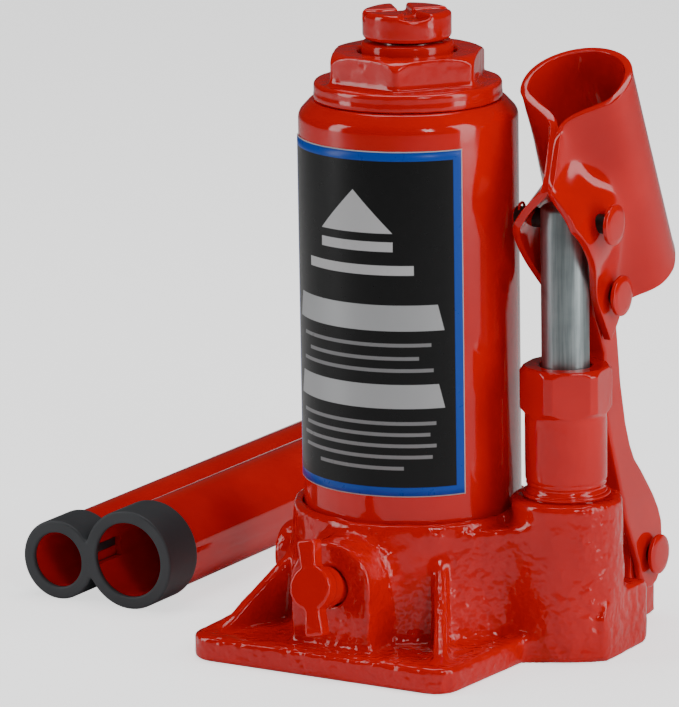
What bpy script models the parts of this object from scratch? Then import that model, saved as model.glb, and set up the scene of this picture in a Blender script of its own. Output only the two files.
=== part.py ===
"""Hydraulic bottle jack with its two-piece handle, as separate named parts.

Metres, +Z up. The origin is on the floor under the ram's axis. The operator stands on the -Y side,
where the release valve is, and the pump stands on the +X side of the ram.
"""

import math

import bmesh
import bpy
import numpy as np
from mathutils import Matrix, Vector

GAP = 0.0003  # between faces that touch on the real object
FINE = 32  # facets round a large turned piece
COARSE = 20  # facets round a small turned piece

# Tank, which sets the size of the whole jack
TANK_RADIUS = 0.0270
TANK_WALL = 0.0015
TANK_FOOT_Z = 0.0272
TANK_TOP_Z = 0.1352
TANK_SHOULDER = 0.0055  # height of the rounded shoulder
TANK_SHOULDER_IN = 0.0030  # how far the shoulder draws in
TANK_MOUTH_RADIUS = 0.0212
GASKET_THICK = 0.0006

# Cast base
BASE_TOP_Z = 0.0345
COLLAR_RADIUS = 0.0295
COLLAR_FOOT_RADIUS = 0.0325
COLLAR_RIM = 0.0012  # chamfer round the collar's top
PLATE_THICK = 0.0065
PLATE_HALF_WIDTH = 0.0370
PLATE_FRONT = 0.0490
PLATE_REAR = 0.0460
PLATE_CORNER = 0.0065
PLATE_EDGE = 0.0016
BOSS_RADIUS = 0.0137
BOSS_TOP_Z = 0.0395
PAD_OUT = 0.0133  # flat pad on the pump column, out from the pump's axis
PAD_HEIGHT = 0.0160
RIB_THICK = 0.0042
CYLINDER_SEAT_Z = 0.0140

# Ram cylinder, ram and extension screw
CYLINDER_RADIUS = 0.0155
CYLINDER_BORE = 0.0123
CYLINDER_TOP_Z = 0.1315
WASHER_THICK = 0.0010
RAM_RADIUS = 0.0113
RAM_BORE = 0.0078
RAM_TOP_Z = 0.1494
RAM_FOOT_Z = 0.0215
RAM_WALL_BELOW = 0.0080
PISTON_CLEAR = 0.0003
SCREW_RADIUS = 0.0068
SCREW_LENGTH = 0.0800
SCREW_CLEAR = 0.0005
SCREW_NUT_DEPTH = 0.0120  # threaded mouth of the ram
STOP_RING_THICK = 0.0020
STOP_RING_UP = 0.0040  # above the foot of the extension screw
SADDLE_RADIUS = 0.0110
SADDLE_THICK = 0.0072
SADDLE_GROOVE = 0.0036
SADDLE_GROOVE_DEPTH = 0.0022
SADDLE_GROOVE_TURN = 41  # degrees from +X

# Top nut
NUT_ACROSS_FLATS = 0.0350
NUT_TURN = math.radians(21.7)  # where the nut came to rest when it was tightened
NUT_CORNER_RADIUS = 0.0205
NUT_FLANGE_RADIUS = 0.02315
NUT_FLANGE_THICK = 0.0036
NUT_HEX_HEIGHT = 0.0075
NUT_SKIRT_DEPTH = 0.0090
NUT_BORE_CLEAR = 0.0009

# Pump
PUMP_X = 0.0422
PUMP_Y = 0.0020
PLUNGER_RADIUS = 0.0059
PLUNGER_TOP_Z = 0.1118
PLUNGER_FOOT_Z = 0.0440
PLUNGER_PIN_Z = 0.1080
PUMP_BODY_RADIUS = 0.0101
PUMP_HEX_FLATS = 0.0206
PUMP_HEX_ROUND = 0.0113  # radius that the hexagon's corners are turned down to
PUMP_HEX_TURN = math.radians(6)
PUMP_HEX_Z = 0.0605
PUMP_TOP_Z = 0.0722
PUMP_FOOT_Z = 0.0182
PUMP_THREAD_RADIUS = 0.0080
PUMP_CLEAR = 0.0003
PIN_RADIUS = 0.0024
PIN_HEAD_RADIUS = 0.0050
PIN_HEAD_THICK = 0.0015
PIN_CLEAR = 0.0003
PIN_TAIL = 0.0032  # beyond the cheek on the split pin's side
PLUNGER_PIN_STAND_OFF = 0.0028  # of the head from the cheek
LINK_PIN_STAND_OFF = 0.0018
BASE_PIN_STAND_OFF = 0.0014
SPLIT_PIN_RADIUS = 0.0006

# Handle socket, a sheet folded round the handle, in its own frame: s runs along the bore, negative
# downwards from the mouth, and n runs across it, positive to the rear
SOCKET_LEAN = math.radians(65.5)  # bore above the floor plane, leaning to -Y
SOCKET_MOUTH_Y = 0.0058  # of the mouth's centre, from the pump's axis
SOCKET_MOUTH_Z = 0.1416
SOCKET_SHEET = 0.0019
SOCKET_RADIUS = 0.0132  # middle of the sheet
SOCKET_FRONT = ((-0.0082, -0.0160), (-0.0186, -0.0252), (-0.0242, -0.0284), (-0.0347, -0.0262),
                (-0.0474, -0.0243), (-0.0611, -0.0226))  # (s, n) of the sheet's front edge
SOCKET_FOOT = ((0.0132, -0.0500), (0.0080, -0.0530), (0.0020, -0.0558), (-0.0070, -0.0568),
               (-0.0130, -0.0570), (-0.0180, -0.0596), (-0.0226, -0.0611))  # (n, s) of its lower edge
SOCKET_MOUTH_DROP = 0.0082
SOCKET_SEAM_GAP = 0.0004
SOCKET_ROUND_TO = -0.0040  # n where the sheet leaves the round of the bore
SOCKET_FLAT_FROM = -0.0140  # n where the cheeks are flat
CHEEK_HALF_GAP = 0.0083  # inside the sheet at the plunger
CHEEK_HALF_GAP_LOW = 0.0050  # inside the sheet at the link

# Link between the socket and the base
LINK_PIN_Y = 0.0118  # from the pump's axis
LINK_PIN_Z = 0.0878
BASE_PIN_Y = 0.0335  # from the pump's axis
BASE_PIN_Z = 0.0173
LINK_HALF_WIDTH = 0.0045
LINK_FOOT_HALF_WIDTH = 0.0060
LINK_SHEET = 0.0020
LINK_EYE_RADIUS = 0.0054
LINK_EYE_BORE = 0.0041
LINK_FOOT_RADIUS = 0.0066
LINK_FOOT_DROP = 0.0090  # of the rounded foot below its pin
LUG_HALF_WIDTH = 0.0036

# Release valve, whose axis rises towards the operator
VALVE_X = -0.0008
VALVE_Z = 0.0208
VALVE_FACE_Y = -0.0400
VALVE_TILT = math.radians(12)
VALVE_BOSS_RADIUS = 0.0111
VALVE_STEM_RADIUS = 0.0053
VALVE_THREAD_RADIUS = 0.0046
VALVE_THREAD_LENGTH = 0.0150
VALVE_STEM_OUT = 0.0054
VALVE_WING_THICK = 0.0044
VALVE_HUB_RADIUS = 0.0055
VALVE_WING_LENGTH = 0.0236
VALVE_WING_WIDTH = 0.0042
VALVE_WING_TURN = math.radians(12)
VALVE_BALL_RADIUS = 0.0024
VALVE_SEAT_ROOM = 0.0022

# Relief plug on the side away from the pump
RELIEF_Y = 0.0060
RELIEF_Z = 0.0150
RELIEF_FACE_X = -0.0400
RELIEF_BOSS_RADIUS = 0.0075
RELIEF_RADIUS = 0.0040
RELIEF_PLUG_LENGTH = 0.0080
RELIEF_SPRING_LENGTH = 0.0026
RELIEF_BALL_RADIUS = 0.0020
SUCTION_BALL_RADIUS = 0.0024

# Filler plug at the rear of the tank
FILLER_Z = 0.1140
FILLER_RADIUS = 0.0040
FILLER_HEAD_RADIUS = 0.0062
FILLER_HEAD_THICK = 0.0026

# Label round the front of the tank
LABEL_LOW_Z = 0.0412
LABEL_HIGH_Z = 0.1268
LABEL_HALF_ANGLE = math.radians(58)
LABEL_THICK = 0.0002
LABEL_STAND_OFF = 0.00012

# Handle set on the floor beside the jack
LARGE_TUBE_RADIUS = 0.0118
SMALL_TUBE_RADIUS = 0.0093
TUBE_WALL = 0.0015
TUBE_LENGTH = 0.1800
TUBE_SLOT_WIDTH = 0.0056
TUBE_SLOT_DEPTH = 0.0110
LARGE_TUBE_X = -0.0741
TUBE_SPACING = 0.0213
CLIP_FRONT_Y = -0.0167
CLIP_LENGTH = 0.0130
CLIP_WALL = 0.0008
CLIP_FLANGE = 0.0014
CLIP_HOLE_IN = 0.0022  # how much smaller the flange's hole is than the tube
CLIP_CLEAR = 0.0002

for old in list(bpy.data.objects):
    bpy.data.objects.remove(old, do_unlink=True)

PARTS = bpy.data.collections.new("bottle_jack")
CUTTERS = bpy.data.collections.new("cutters")
bpy.context.scene.collection.children.link(PARTS)
bpy.context.scene.collection.children.link(CUTTERS)
CUTTERS.hide_render = True


# ---------------------------------------------------------------- materials


def material(name, colour, roughness, metallic=0.0):
    """A Principled material of one colour."""
    made = bpy.data.materials.new(name)
    made.use_nodes = True
    shader = made.node_tree.nodes["Principled BSDF"]
    shader.inputs["Base Color"].default_value = (*colour, 1.0)
    shader.inputs["Roughness"].default_value = roughness
    shader.inputs["Metallic"].default_value = metallic
    return made


def finishes():
    """One material for each finish on the jack."""
    return {
        "cast_paint": material("cast_paint", (0.70, 0.010, 0.008), 0.22),
        "red_paint": material("red_paint", (0.72, 0.012, 0.010), 0.16),
        "zinc": material("zinc", (0.46, 0.50, 0.51), 0.38, 0.9),
        "steel": material("steel", (0.55, 0.55, 0.56), 0.30, 1.0),
        "rubber": material("rubber", (0.03, 0.03, 0.03), 0.75),
        "copper": material("copper", (0.72, 0.38, 0.24), 0.35, 1.0),
        "grey_plastic": material("grey_plastic", (0.075, 0.080, 0.088), 0.55),
        "label_film": material("label_film", (0.012, 0.012, 0.014), 0.30),
        "seal_polymer": material("seal_polymer", (0.62, 0.55, 0.36), 0.50),
    }


FINISH = finishes()


# ---------------------------------------------------------------- modelling tools


def place(name, mesh, finish=None, at=(0, 0, 0), turn=(0, 0, 0), parent=None):
    """An object of this mesh: a part when it has a finish, otherwise a hidden cutter."""
    obj = bpy.data.objects.new(name, mesh)
    obj.location = at
    obj.rotation_euler = turn
    if finish is None:
        CUTTERS.objects.link(obj)
        obj.hide_render = True
        obj.display_type = "WIRE"
    else:
        PARTS.objects.link(obj)
        mesh.materials.append(FINISH[finish])
    if parent is not None:
        obj.parent = parent
    return obj


def axis_empty(name, at, turn=(0, 0, 0)):
    """An empty that marks a joint's axis and carries the pieces that turn or slide on it."""
    empty = bpy.data.objects.new(name, None)
    empty.location = at
    empty.rotation_euler = turn
    empty.empty_display_size = 0.01
    PARTS.objects.link(empty)
    return empty


def mesh_from(work, name):
    """A mesh from a bmesh, which is then freed."""
    mesh = bpy.data.meshes.new(name)
    work.to_mesh(mesh)
    work.free()
    return mesh


def smooth(obj, angle=35):
    """Shades round surfaces smooth and leaves edges over this angle sharp."""
    obj.data.shade_smooth()
    obj.data.set_sharp_from_angle(angle=math.radians(angle))


def turned(name, profile, finish=None, closed=True, facets=FINE, **where):
    """A turned piece: (radius, height) points down the outer side, with a Screw round local Z."""
    work = bmesh.new()
    points = [work.verts.new((radius, 0, height)) for radius, height in profile]
    for first, second in zip(points, points[1:]):
        work.edges.new((first, second))
    if closed:
        work.edges.new((points[-1], points[0]))
    obj = place(name, mesh_from(work, name), finish, **where)
    screw = obj.modifiers.new("turn", "SCREW")
    screw.steps = facets
    screw.render_steps = facets
    screw.use_merge_vertices = True
    screw.merge_threshold = 0.00001
    screw.use_smooth_shade = True
    return obj


def rod(name, radius, low, high, finish=None, chamfer=0.0, facets=COARSE, **where):
    """A solid round bar along local Z, with chamfered ends."""
    profile = [(0, high), (radius - chamfer, high)]
    if chamfer:
        profile += [(radius, high - chamfer), (radius, low + chamfer)]
    else:
        profile += [(radius, low)]
    profile += [(radius - chamfer, low)] if chamfer else []
    profile += [(0, low)]
    return turned(name, profile, finish, closed=False, facets=facets, **where)


def ring(name, outer, inner, low, high, finish=None, facets=FINE, **where):
    """A plain ring or tube along local Z."""
    profile = [(outer, high), (outer, low), (inner, low), (inner, high)]
    return turned(name, profile, finish, facets=facets, **where)


def ball(name, radius, finish, **where):
    """A bearing ball."""
    work = bmesh.new()
    bmesh.ops.create_uvsphere(work, u_segments=10, v_segments=6, radius=radius)
    obj = place(name, mesh_from(work, name), finish, **where)
    smooth(obj, 80)
    return obj


def prism(name, sides, across_flats, low, high, finish=None, **where):
    """A regular prism along local Z, with a flat facing +X."""
    work = bmesh.new()
    corner = across_flats / 2 / math.cos(math.pi / sides)
    bmesh.ops.create_cone(work, cap_ends=True, segments=sides, radius1=corner, radius2=corner, depth=high - low)
    bmesh.ops.rotate(work, verts=work.verts, matrix=Matrix.Rotation(math.pi / sides, 3, "Z"))
    bmesh.ops.translate(work, verts=work.verts, vec=(0, 0, (low + high) / 2))
    return place(name, mesh_from(work, name), finish, **where)


def box(name, low, high, finish=None, **where):
    """A box between two corners."""
    work = bmesh.new()
    bmesh.ops.create_cube(work, size=1)
    size = [b - a for a, b in zip(low, high)]
    middle = [(a + b) / 2 for a, b in zip(low, high)]
    bmesh.ops.scale(work, verts=work.verts, vec=size)
    bmesh.ops.translate(work, verts=work.verts, vec=middle)
    return place(name, mesh_from(work, name), finish, **where)


def outline(name, points, low, high, finish=None, **where):
    """A flat outline in local XY, extruded from low to high along local Z."""
    curve = bpy.data.curves.new(name, "CURVE")
    curve.dimensions = "2D"
    curve.fill_mode = "BOTH"
    curve.extrude = (high - low) / 2
    spline = curve.splines.new("POLY")
    spline.points.add(len(points) - 1)
    for point, (x, y) in zip(spline.points, points):
        point.co = (x, y, 0, 1)
    spline.use_cyclic_u = True
    guide = bpy.data.objects.new(name + "_guide", curve)
    CUTTERS.objects.link(guide)
    bpy.context.view_layer.update()
    graph = bpy.context.evaluated_depsgraph_get()
    mesh = bpy.data.meshes.new_from_object(guide.evaluated_get(graph))
    bpy.data.objects.remove(guide, do_unlink=True)
    mesh.name = name
    work = bmesh.new()
    work.from_mesh(mesh)
    bmesh.ops.remove_doubles(work, verts=work.verts, dist=0.000001)
    bmesh.ops.translate(work, verts=work.verts, vec=(0, 0, (low + high) / 2))
    bmesh.ops.recalc_face_normals(work, faces=work.faces)
    work.to_mesh(mesh)
    work.free()
    return place(name, mesh, finish, **where)


def rounded(corners, radius, steps=4):
    """A closed outline whose corners are arcs. A corner may carry its own radius as a third number."""
    points = []
    count = len(corners)
    for index, corner in enumerate(corners):
        here = Vector(corner[:2])
        back = (Vector(corners[index - 1][:2]) - here).normalized()
        ahead = (Vector(corners[(index + 1) % count][:2]) - here).normalized()
        size = corner[2] if len(corner) > 2 else radius
        if not size:
            points.append(tuple(here))
            continue
        half = math.acos(max(-1.0, min(1.0, back.dot(ahead)))) / 2
        centre = here + (back + ahead).normalized() * size / math.sin(half)
        start = here + back * size / math.tan(half) - centre
        end = here + ahead * size / math.tan(half) - centre
        sweep = math.atan2(start.cross(end), start.dot(end))
        for step in range(steps + 1):
            points.append(tuple(centre + Matrix.Rotation(sweep * step / steps, 2) @ start))
    return points


def bevelled(obj, width, segments=2, angle=40):
    """Rounds the edges of a flat-faced piece."""
    bevel = obj.modifiers.new("edges", "BEVEL")
    bevel.width = width
    bevel.segments = segments
    bevel.limit_method = "ANGLE"
    bevel.angle_limit = math.radians(angle)
    return obj


def combine(obj, other, operation):
    """Cuts or joins another object into this one with the exact solver."""
    boolean = obj.modifiers.new(operation.lower() + "_" + other.name, "BOOLEAN")
    boolean.operation = operation
    boolean.object = other
    boolean.solver = "EXACT"


def cut(obj, *others):
    for other in others:
        combine(obj, other, "DIFFERENCE")


def join(obj, *others):
    for other in others:
        combine(obj, other, "UNION")


ALONG_X = (0, math.pi / 2, 0)  # turns local Z to +X
ALONG_Y = (-math.pi / 2, 0, 0)  # turns local Z to +Y
VALVE_TURN = (math.pi / 2 - VALVE_TILT, 0, 0)  # turns local Z to the valve's outward axis
VALVE_AXIS = Vector((0, -math.cos(VALVE_TILT), math.sin(VALVE_TILT)))
VALVE_MOUTH = Vector((VALVE_X, VALVE_FACE_Y, VALVE_Z))


# ---------------------------------------------------------------- base


def base_casting():
    """The cast base: plate, collar, pump column, valve boss, relief boss, ribs and the link's lug."""
    pad_x = PUMP_X + PAD_OUT
    side = PLATE_HALF_WIDTH
    lug_y = PUMP_Y + BASE_PIN_Y
    corners = [
        (-side, -PLATE_FRONT, PLATE_CORNER),
        (side, -PLATE_FRONT, PLATE_CORNER),
        (side + 0.002, PUMP_Y - 0.0158, 0.004),
        (pad_x - 0.002, PUMP_Y - 0.0066, 0.002),
        (pad_x, PUMP_Y + 0.017, 0.003),
        (PUMP_X + LUG_HALF_WIDTH + 0.003, lug_y - 0.009, 0.002),
        (PUMP_X + LUG_HALF_WIDTH + 0.003, PLATE_REAR, 0.003),
        (-side, PLATE_REAR, PLATE_CORNER),
    ]
    base = outline("base_casting", rounded(corners, 0.004), 0, PLATE_THICK, "cast_paint")
    bevelled(base, PLATE_EDGE)

    foot = 0.0010
    collar = turned("collar", [(0, BASE_TOP_Z), (COLLAR_RADIUS - COLLAR_RIM, BASE_TOP_Z),
                               (COLLAR_RADIUS, BASE_TOP_Z - COLLAR_RIM), (COLLAR_FOOT_RADIUS, foot), (0, foot)],
                    closed=False)
    column = turned("pump_column", [(0, BOSS_TOP_Z), (BOSS_RADIUS - 0.001, BOSS_TOP_Z),
                                    (BOSS_RADIUS, BOSS_TOP_Z - 0.001), (BOSS_RADIUS + 0.0006, foot), (0, foot)],
                    closed=False, facets=24, at=(PUMP_X, PUMP_Y, 0))
    web_top = BASE_TOP_Z - 0.0024
    web = bevelled(box("column_web", (0.010, PUMP_Y - 0.0115, foot), (PUMP_X, PUMP_Y + 0.0115, web_top)), 0.001, 1)
    pad = outline("column_pad", rounded([(-0.0065, foot), (0.0155, foot), (0.0155, PAD_HEIGHT, 0.003),
                                         (-0.0065, PAD_HEIGHT, 0.006)], 0),
                  0, PAD_OUT - 0.0002, at=(PUMP_X, PUMP_Y, 0), turn=(math.pi / 2, 0, math.pi / 2))
    boss_low = outline("valve_boss_block", [(-VALVE_BOSS_RADIUS, foot), (VALVE_BOSS_RADIUS, foot)]
                       + [(VALVE_BOSS_RADIUS * math.cos(math.pi * step / 16),
                           VALVE_Z - 0.0002 + VALVE_BOSS_RADIUS * math.sin(math.pi * step / 16))
                          for step in range(17)],
                       0, -VALVE_FACE_Y, at=(VALVE_X, 0, 0), turn=(math.pi / 2, 0, 0))
    bevelled(boss_low, 0.0008, 1, 60)
    relief = turned("relief_boss", [(0, 0), (RELIEF_BOSS_RADIUS - 0.001, 0), (RELIEF_BOSS_RADIUS, -0.001),
                                    (RELIEF_BOSS_RADIUS, RELIEF_FACE_X), (0, RELIEF_FACE_X)],
                    closed=False, facets=COARSE, at=(RELIEF_FACE_X, RELIEF_Y, RELIEF_Z), turn=(0, -math.pi / 2, 0))
    join(base, collar, column, web, pad, boss_low, relief)

    rib_reach = Vector((side - 0.0055, -PLATE_FRONT + 0.0062))
    for name, flip, top in (("right_rib", 1, 0.0262), ("left_rib", -1, 0.0230)):
        length = rib_reach.length
        profile = [(0.0, foot), (length, foot), (length, PLATE_THICK - 0.0004), (0.0292, top), (0.0, top)]
        heading = math.atan2(rib_reach.y, rib_reach.x * flip)
        rib = outline(name, profile, -RIB_THICK / 2, RIB_THICK / 2, turn=(math.pi / 2, 0, heading))
        bevelled(rib, 0.0012, 1, 50)
        join(base, rib)

    lug_radius = LINK_FOOT_RADIUS
    lug_profile = rounded([(-lug_radius - 0.003, foot), (lug_radius + 0.003, foot),
                           (lug_radius, BASE_PIN_Z + lug_radius, lug_radius * 0.97),
                           (-lug_radius, BASE_PIN_Z + lug_radius, lug_radius * 0.97)], 0, 6)
    lug = outline("link_lug", lug_profile, -LUG_HALF_WIDTH, LUG_HALF_WIDTH,
                  at=(PUMP_X, lug_y, 0), turn=(math.pi / 2, 0, math.pi / 2))
    root = box("lug_root", (PUMP_X - LUG_HALF_WIDTH, PUMP_Y, foot), (PUMP_X + LUG_HALF_WIDTH, lug_y, 0.0100))
    join(base, lug, root)

    tank_room = rod("tank_room", TANK_RADIUS + GAP, TANK_FOOT_Z - GASKET_THICK - 2 * GAP, BASE_TOP_Z + 0.01,
                    facets=FINE)
    cylinder_room = rod("cylinder_room", CYLINDER_RADIUS + GAP, CYLINDER_SEAT_Z, TANK_FOOT_Z + 0.01, facets=FINE)
    pump_room = rod("pump_room", PUMP_THREAD_RADIUS + GAP, PUMP_FOOT_Z - GAP, BOSS_TOP_Z + 0.01,
                    at=(PUMP_X, PUMP_Y, 0))
    suction_room = rod("suction_room", SUCTION_BALL_RADIUS + 0.0006, 0.0090, PUMP_FOOT_Z + 0.002,
                       at=(PUMP_X, PUMP_Y, 0), facets=16)
    valve_depth = VALVE_THREAD_LENGTH + 2 * VALVE_BALL_RADIUS + VALVE_SEAT_ROOM
    valve_room = rod("valve_room", VALVE_THREAD_RADIUS + GAP, -valve_depth, 0.01, at=VALVE_MOUTH, turn=VALVE_TURN)
    relief_depth = RELIEF_PLUG_LENGTH + RELIEF_SPRING_LENGTH + 2 * RELIEF_BALL_RADIUS + 3 * GAP
    relief_room = rod("relief_room", RELIEF_RADIUS + GAP, -relief_depth, 0.01,
                      at=(RELIEF_FACE_X, RELIEF_Y, RELIEF_Z), turn=(0, -math.pi / 2, 0))
    pin_room = rod("base_pin_room", PIN_RADIUS + PIN_CLEAR, -0.02, 0.02,
                   at=(PUMP_X, lug_y, BASE_PIN_Z), turn=ALONG_X, facets=16)
    cut(base, tank_room, cylinder_room, pump_room, suction_room, valve_room, relief_room, pin_room)
    return base


def tank():
    """The reservoir tube with its drawn shoulder, its two gaskets and the label round its front."""
    inside = TANK_RADIUS - TANK_WALL
    shoulder = []
    inner_shoulder = []
    for step in range(5):
        turn = math.pi / 2 * step / 4
        shoulder.append((TANK_RADIUS - TANK_SHOULDER_IN + TANK_SHOULDER_IN * math.sin(turn),
                         TANK_TOP_Z - TANK_SHOULDER + TANK_SHOULDER * math.cos(turn)))
        inner_shoulder.append((inside - TANK_SHOULDER_IN + TANK_SHOULDER_IN * math.cos(turn),
                               TANK_TOP_Z - TANK_WALL - TANK_SHOULDER + TANK_SHOULDER * math.sin(turn)))
    profile = [(TANK_MOUTH_RADIUS, TANK_TOP_Z)] + shoulder
    profile += [(TANK_RADIUS, TANK_FOOT_Z), (inside, TANK_FOOT_Z)] + inner_shoulder
    profile += [(TANK_MOUTH_RADIUS, TANK_TOP_Z - TANK_WALL)]
    tube = turned("reservoir_tube", profile, "red_paint", facets=40)
    cut(tube, rod("filler_hole", FILLER_RADIUS + GAP, 0.020, 0.035, at=(0, 0, FILLER_Z), turn=ALONG_Y))
    ring("tank_top_gasket", NUT_FLANGE_RADIUS - 0.0012, TANK_MOUTH_RADIUS + 0.0002, TANK_TOP_Z + GAP / 2,
         TANK_TOP_Z + GAP / 2 + GASKET_THICK, "rubber")
    ring("tank_base_gasket", TANK_RADIUS - 0.0001, inside + 0.0001, TANK_FOOT_Z - GASKET_THICK - GAP,
         TANK_FOOT_Z - GAP, "rubber")

    work = bmesh.new()
    steps = 20
    radius = TANK_RADIUS + LABEL_STAND_OFF + LABEL_THICK / 2
    rows = []
    for height in (LABEL_LOW_Z, LABEL_HIGH_Z):
        rows.append([work.verts.new((radius * math.sin(turn), -radius * math.cos(turn), height))
                     for turn in np.linspace(-LABEL_HALF_ANGLE, LABEL_HALF_ANGLE, steps)])
    for index in range(steps - 1):
        work.faces.new((rows[0][index], rows[0][index + 1], rows[1][index + 1], rows[1][index]))
    label = place("rating_label", mesh_from(work, "rating_label"), "label_film")
    wall = label.modifiers.new("film", "SOLIDIFY")
    wall.thickness = LABEL_THICK
    wall.offset = 0


def filler_plug():
    """A soft plug pulled straight out of the rear of the tank."""
    seat = TANK_RADIUS + GAP
    axis = axis_empty("filler_axis", (0, 0, FILLER_Z), ALONG_Y)
    head = FILLER_HEAD_RADIUS
    turned("oil_filler_plug", [(0, seat + FILLER_HEAD_THICK), (head - 0.001, seat + FILLER_HEAD_THICK),
                               (head, seat + FILLER_HEAD_THICK - 0.001), (head, seat + 0.0006),
                               (FILLER_RADIUS, seat + 0.0006), (FILLER_RADIUS, seat - 0.0045),
                               (FILLER_RADIUS - 0.001, seat - 0.0055), (0, seat - 0.0055)],
           "rubber", closed=False, facets=COARSE, parent=axis)


def cylinder_and_nut():
    """The ram's cylinder on its washer, and the top nut that clamps it and the tank to the base."""
    washer_z = CYLINDER_SEAT_Z + GAP
    ring("cylinder_foot_washer", CYLINDER_RADIUS, CYLINDER_BORE - 0.003, washer_z, washer_z + WASHER_THICK, "copper")
    foot = washer_z + WASHER_THICK + GAP
    ring("ram_cylinder", CYLINDER_RADIUS, CYLINDER_BORE, foot, CYLINDER_TOP_Z, "steel")
    ring("oil_strainer", CYLINDER_RADIUS + 0.0035, CYLINDER_RADIUS + 0.0006, TANK_FOOT_Z + 0.0008,
         TANK_FOOT_Z + 0.0068, "copper", facets=24)

    flange_z = TANK_TOP_Z + GASKET_THICK + GAP
    hex_z = flange_z + NUT_FLANGE_THICK
    top_z = hex_z + NUT_HEX_HEIGHT
    bore = RAM_RADIUS + NUT_BORE_CLEAR
    skirt = TANK_MOUTH_RADIUS - GAP
    skirt_z = flange_z - NUT_SKIRT_DEPTH
    groove = bore + 0.0022
    inner = [(CYLINDER_RADIUS + GAP, skirt_z), (CYLINDER_RADIUS + GAP, CYLINDER_TOP_Z + GAP),
             (bore, CYLINDER_TOP_Z + GAP), (bore, hex_z), (groove, hex_z), (groove, hex_z + 0.0032),
             (bore, hex_z + 0.0032), (bore, top_z)]
    nut = turned("top_nut", [(bore + 0.001, top_z), (skirt - 0.006, top_z), (skirt - 0.006, hex_z - 0.0005),
                             (NUT_FLANGE_RADIUS - 0.0008, hex_z), (NUT_FLANGE_RADIUS, hex_z - 0.0008),
                             (NUT_FLANGE_RADIUS, flange_z + 0.0006), (NUT_FLANGE_RADIUS - 0.0006, flange_z),
                             (skirt, flange_z), (skirt, skirt_z)] + inner,
                 "red_paint")
    hexagon = prism("nut_hexagon", 6, NUT_ACROSS_FLATS, hex_z - 0.0004, top_z, turn=(0, 0, NUT_TURN))
    bevelled(hexagon, 0.0014, 2, 50)
    keep = turned("nut_chamfer", [(NUT_ACROSS_FLATS / 2 - 0.0004, top_z + 0.0002),
                                  (NUT_CORNER_RADIUS, top_z - 0.0022), (NUT_CORNER_RADIUS, hex_z - 0.002), (groove + 0.0002, hex_z - 0.002),
                                  (groove + 0.0002, top_z + 0.0002)])
    combine(hexagon, keep, "INTERSECT")
    join(nut, hexagon)
    ring("ram_wiper", groove - GAP, RAM_RADIUS + 0.0002, hex_z + GAP, hex_z + 0.0032 - GAP, "rubber")


# ---------------------------------------------------------------- ram and screw


def ram_and_screw():
    """The ram with its piston rings, and the extension screw with the saddle on top."""
    ram_axis = axis_empty("ram_axis", (0, 0, 0))
    foot = RAM_FOOT_Z
    groove = RAM_RADIUS - 0.0014
    mouth = SCREW_RADIUS + SCREW_CLEAR
    profile = [(0, foot + RAM_WALL_BELOW), (RAM_BORE, foot + RAM_WALL_BELOW),
               (RAM_BORE, RAM_TOP_Z - SCREW_NUT_DEPTH), (mouth, RAM_TOP_Z - SCREW_NUT_DEPTH), (mouth, RAM_TOP_Z),
               (RAM_RADIUS - 0.0007, RAM_TOP_Z), (RAM_RADIUS, RAM_TOP_Z - 0.0022),
               (RAM_RADIUS, foot + 0.0100), (groove, foot + 0.0100), (groove, foot + 0.0060),
               (RAM_RADIUS, foot + 0.0060), (RAM_RADIUS, foot + 0.0045), (groove, foot + 0.0045),
               (groove, foot), (0, foot)]
    turned("ram", profile, "steel", closed=False, parent=ram_axis)
    seal = CYLINDER_BORE - PISTON_CLEAR
    ring("piston_guide_ring", seal, groove + GAP, foot + 0.0060 + GAP, foot + 0.0100 - GAP, "seal_polymer",
         parent=ram_axis)
    ring("piston_cup_seal", seal, groove + GAP, foot, foot + 0.0045 - GAP, "rubber", parent=ram_axis)

    low = RAM_TOP_Z + SCREW_CLEAR
    top = low + SADDLE_THICK
    travel_axis = axis_empty("screw_travel_axis", (0, 0, 0))
    ring_z = low - SCREW_LENGTH + STOP_RING_UP
    ring("screw_stop_ring", RAM_BORE - GAP, SCREW_RADIUS + GAP, ring_z, ring_z + STOP_RING_THICK, "steel",
         facets=24, parent=travel_axis)
    screw_axis = axis_empty("screw_axis", (0, 0, 0))
    screw_axis.parent = travel_axis
    rod("extension_screw", SCREW_RADIUS, low - SCREW_LENGTH, low + 0.0030, "steel", chamfer=0.0008, facets=28,
        parent=screw_axis)
    room = SCREW_RADIUS + GAP
    saddle = turned("saddle", [(0, top), (SADDLE_RADIUS - 0.0008, top), (SADDLE_RADIUS, top - 0.0008),
                               (SADDLE_RADIUS, low + 0.0008), (SADDLE_RADIUS - 0.0006, low), (room, low),
                               (room, low + 0.0030 + GAP), (0, low + 0.0030 + GAP)],
                    "red_paint", closed=False, parent=screw_axis)
    for index in range(2):
        groove_box = box(f"saddle_groove_{index}", (-0.02, -SADDLE_GROOVE / 2, top - SADDLE_GROOVE_DEPTH),
                         (0.02, SADDLE_GROOVE / 2, top + 0.002), turn=(0, 0, math.radians(SADDLE_GROOVE_TURN + 90 * index)))
        cut(saddle, groove_box)


# ---------------------------------------------------------------- pump


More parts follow.
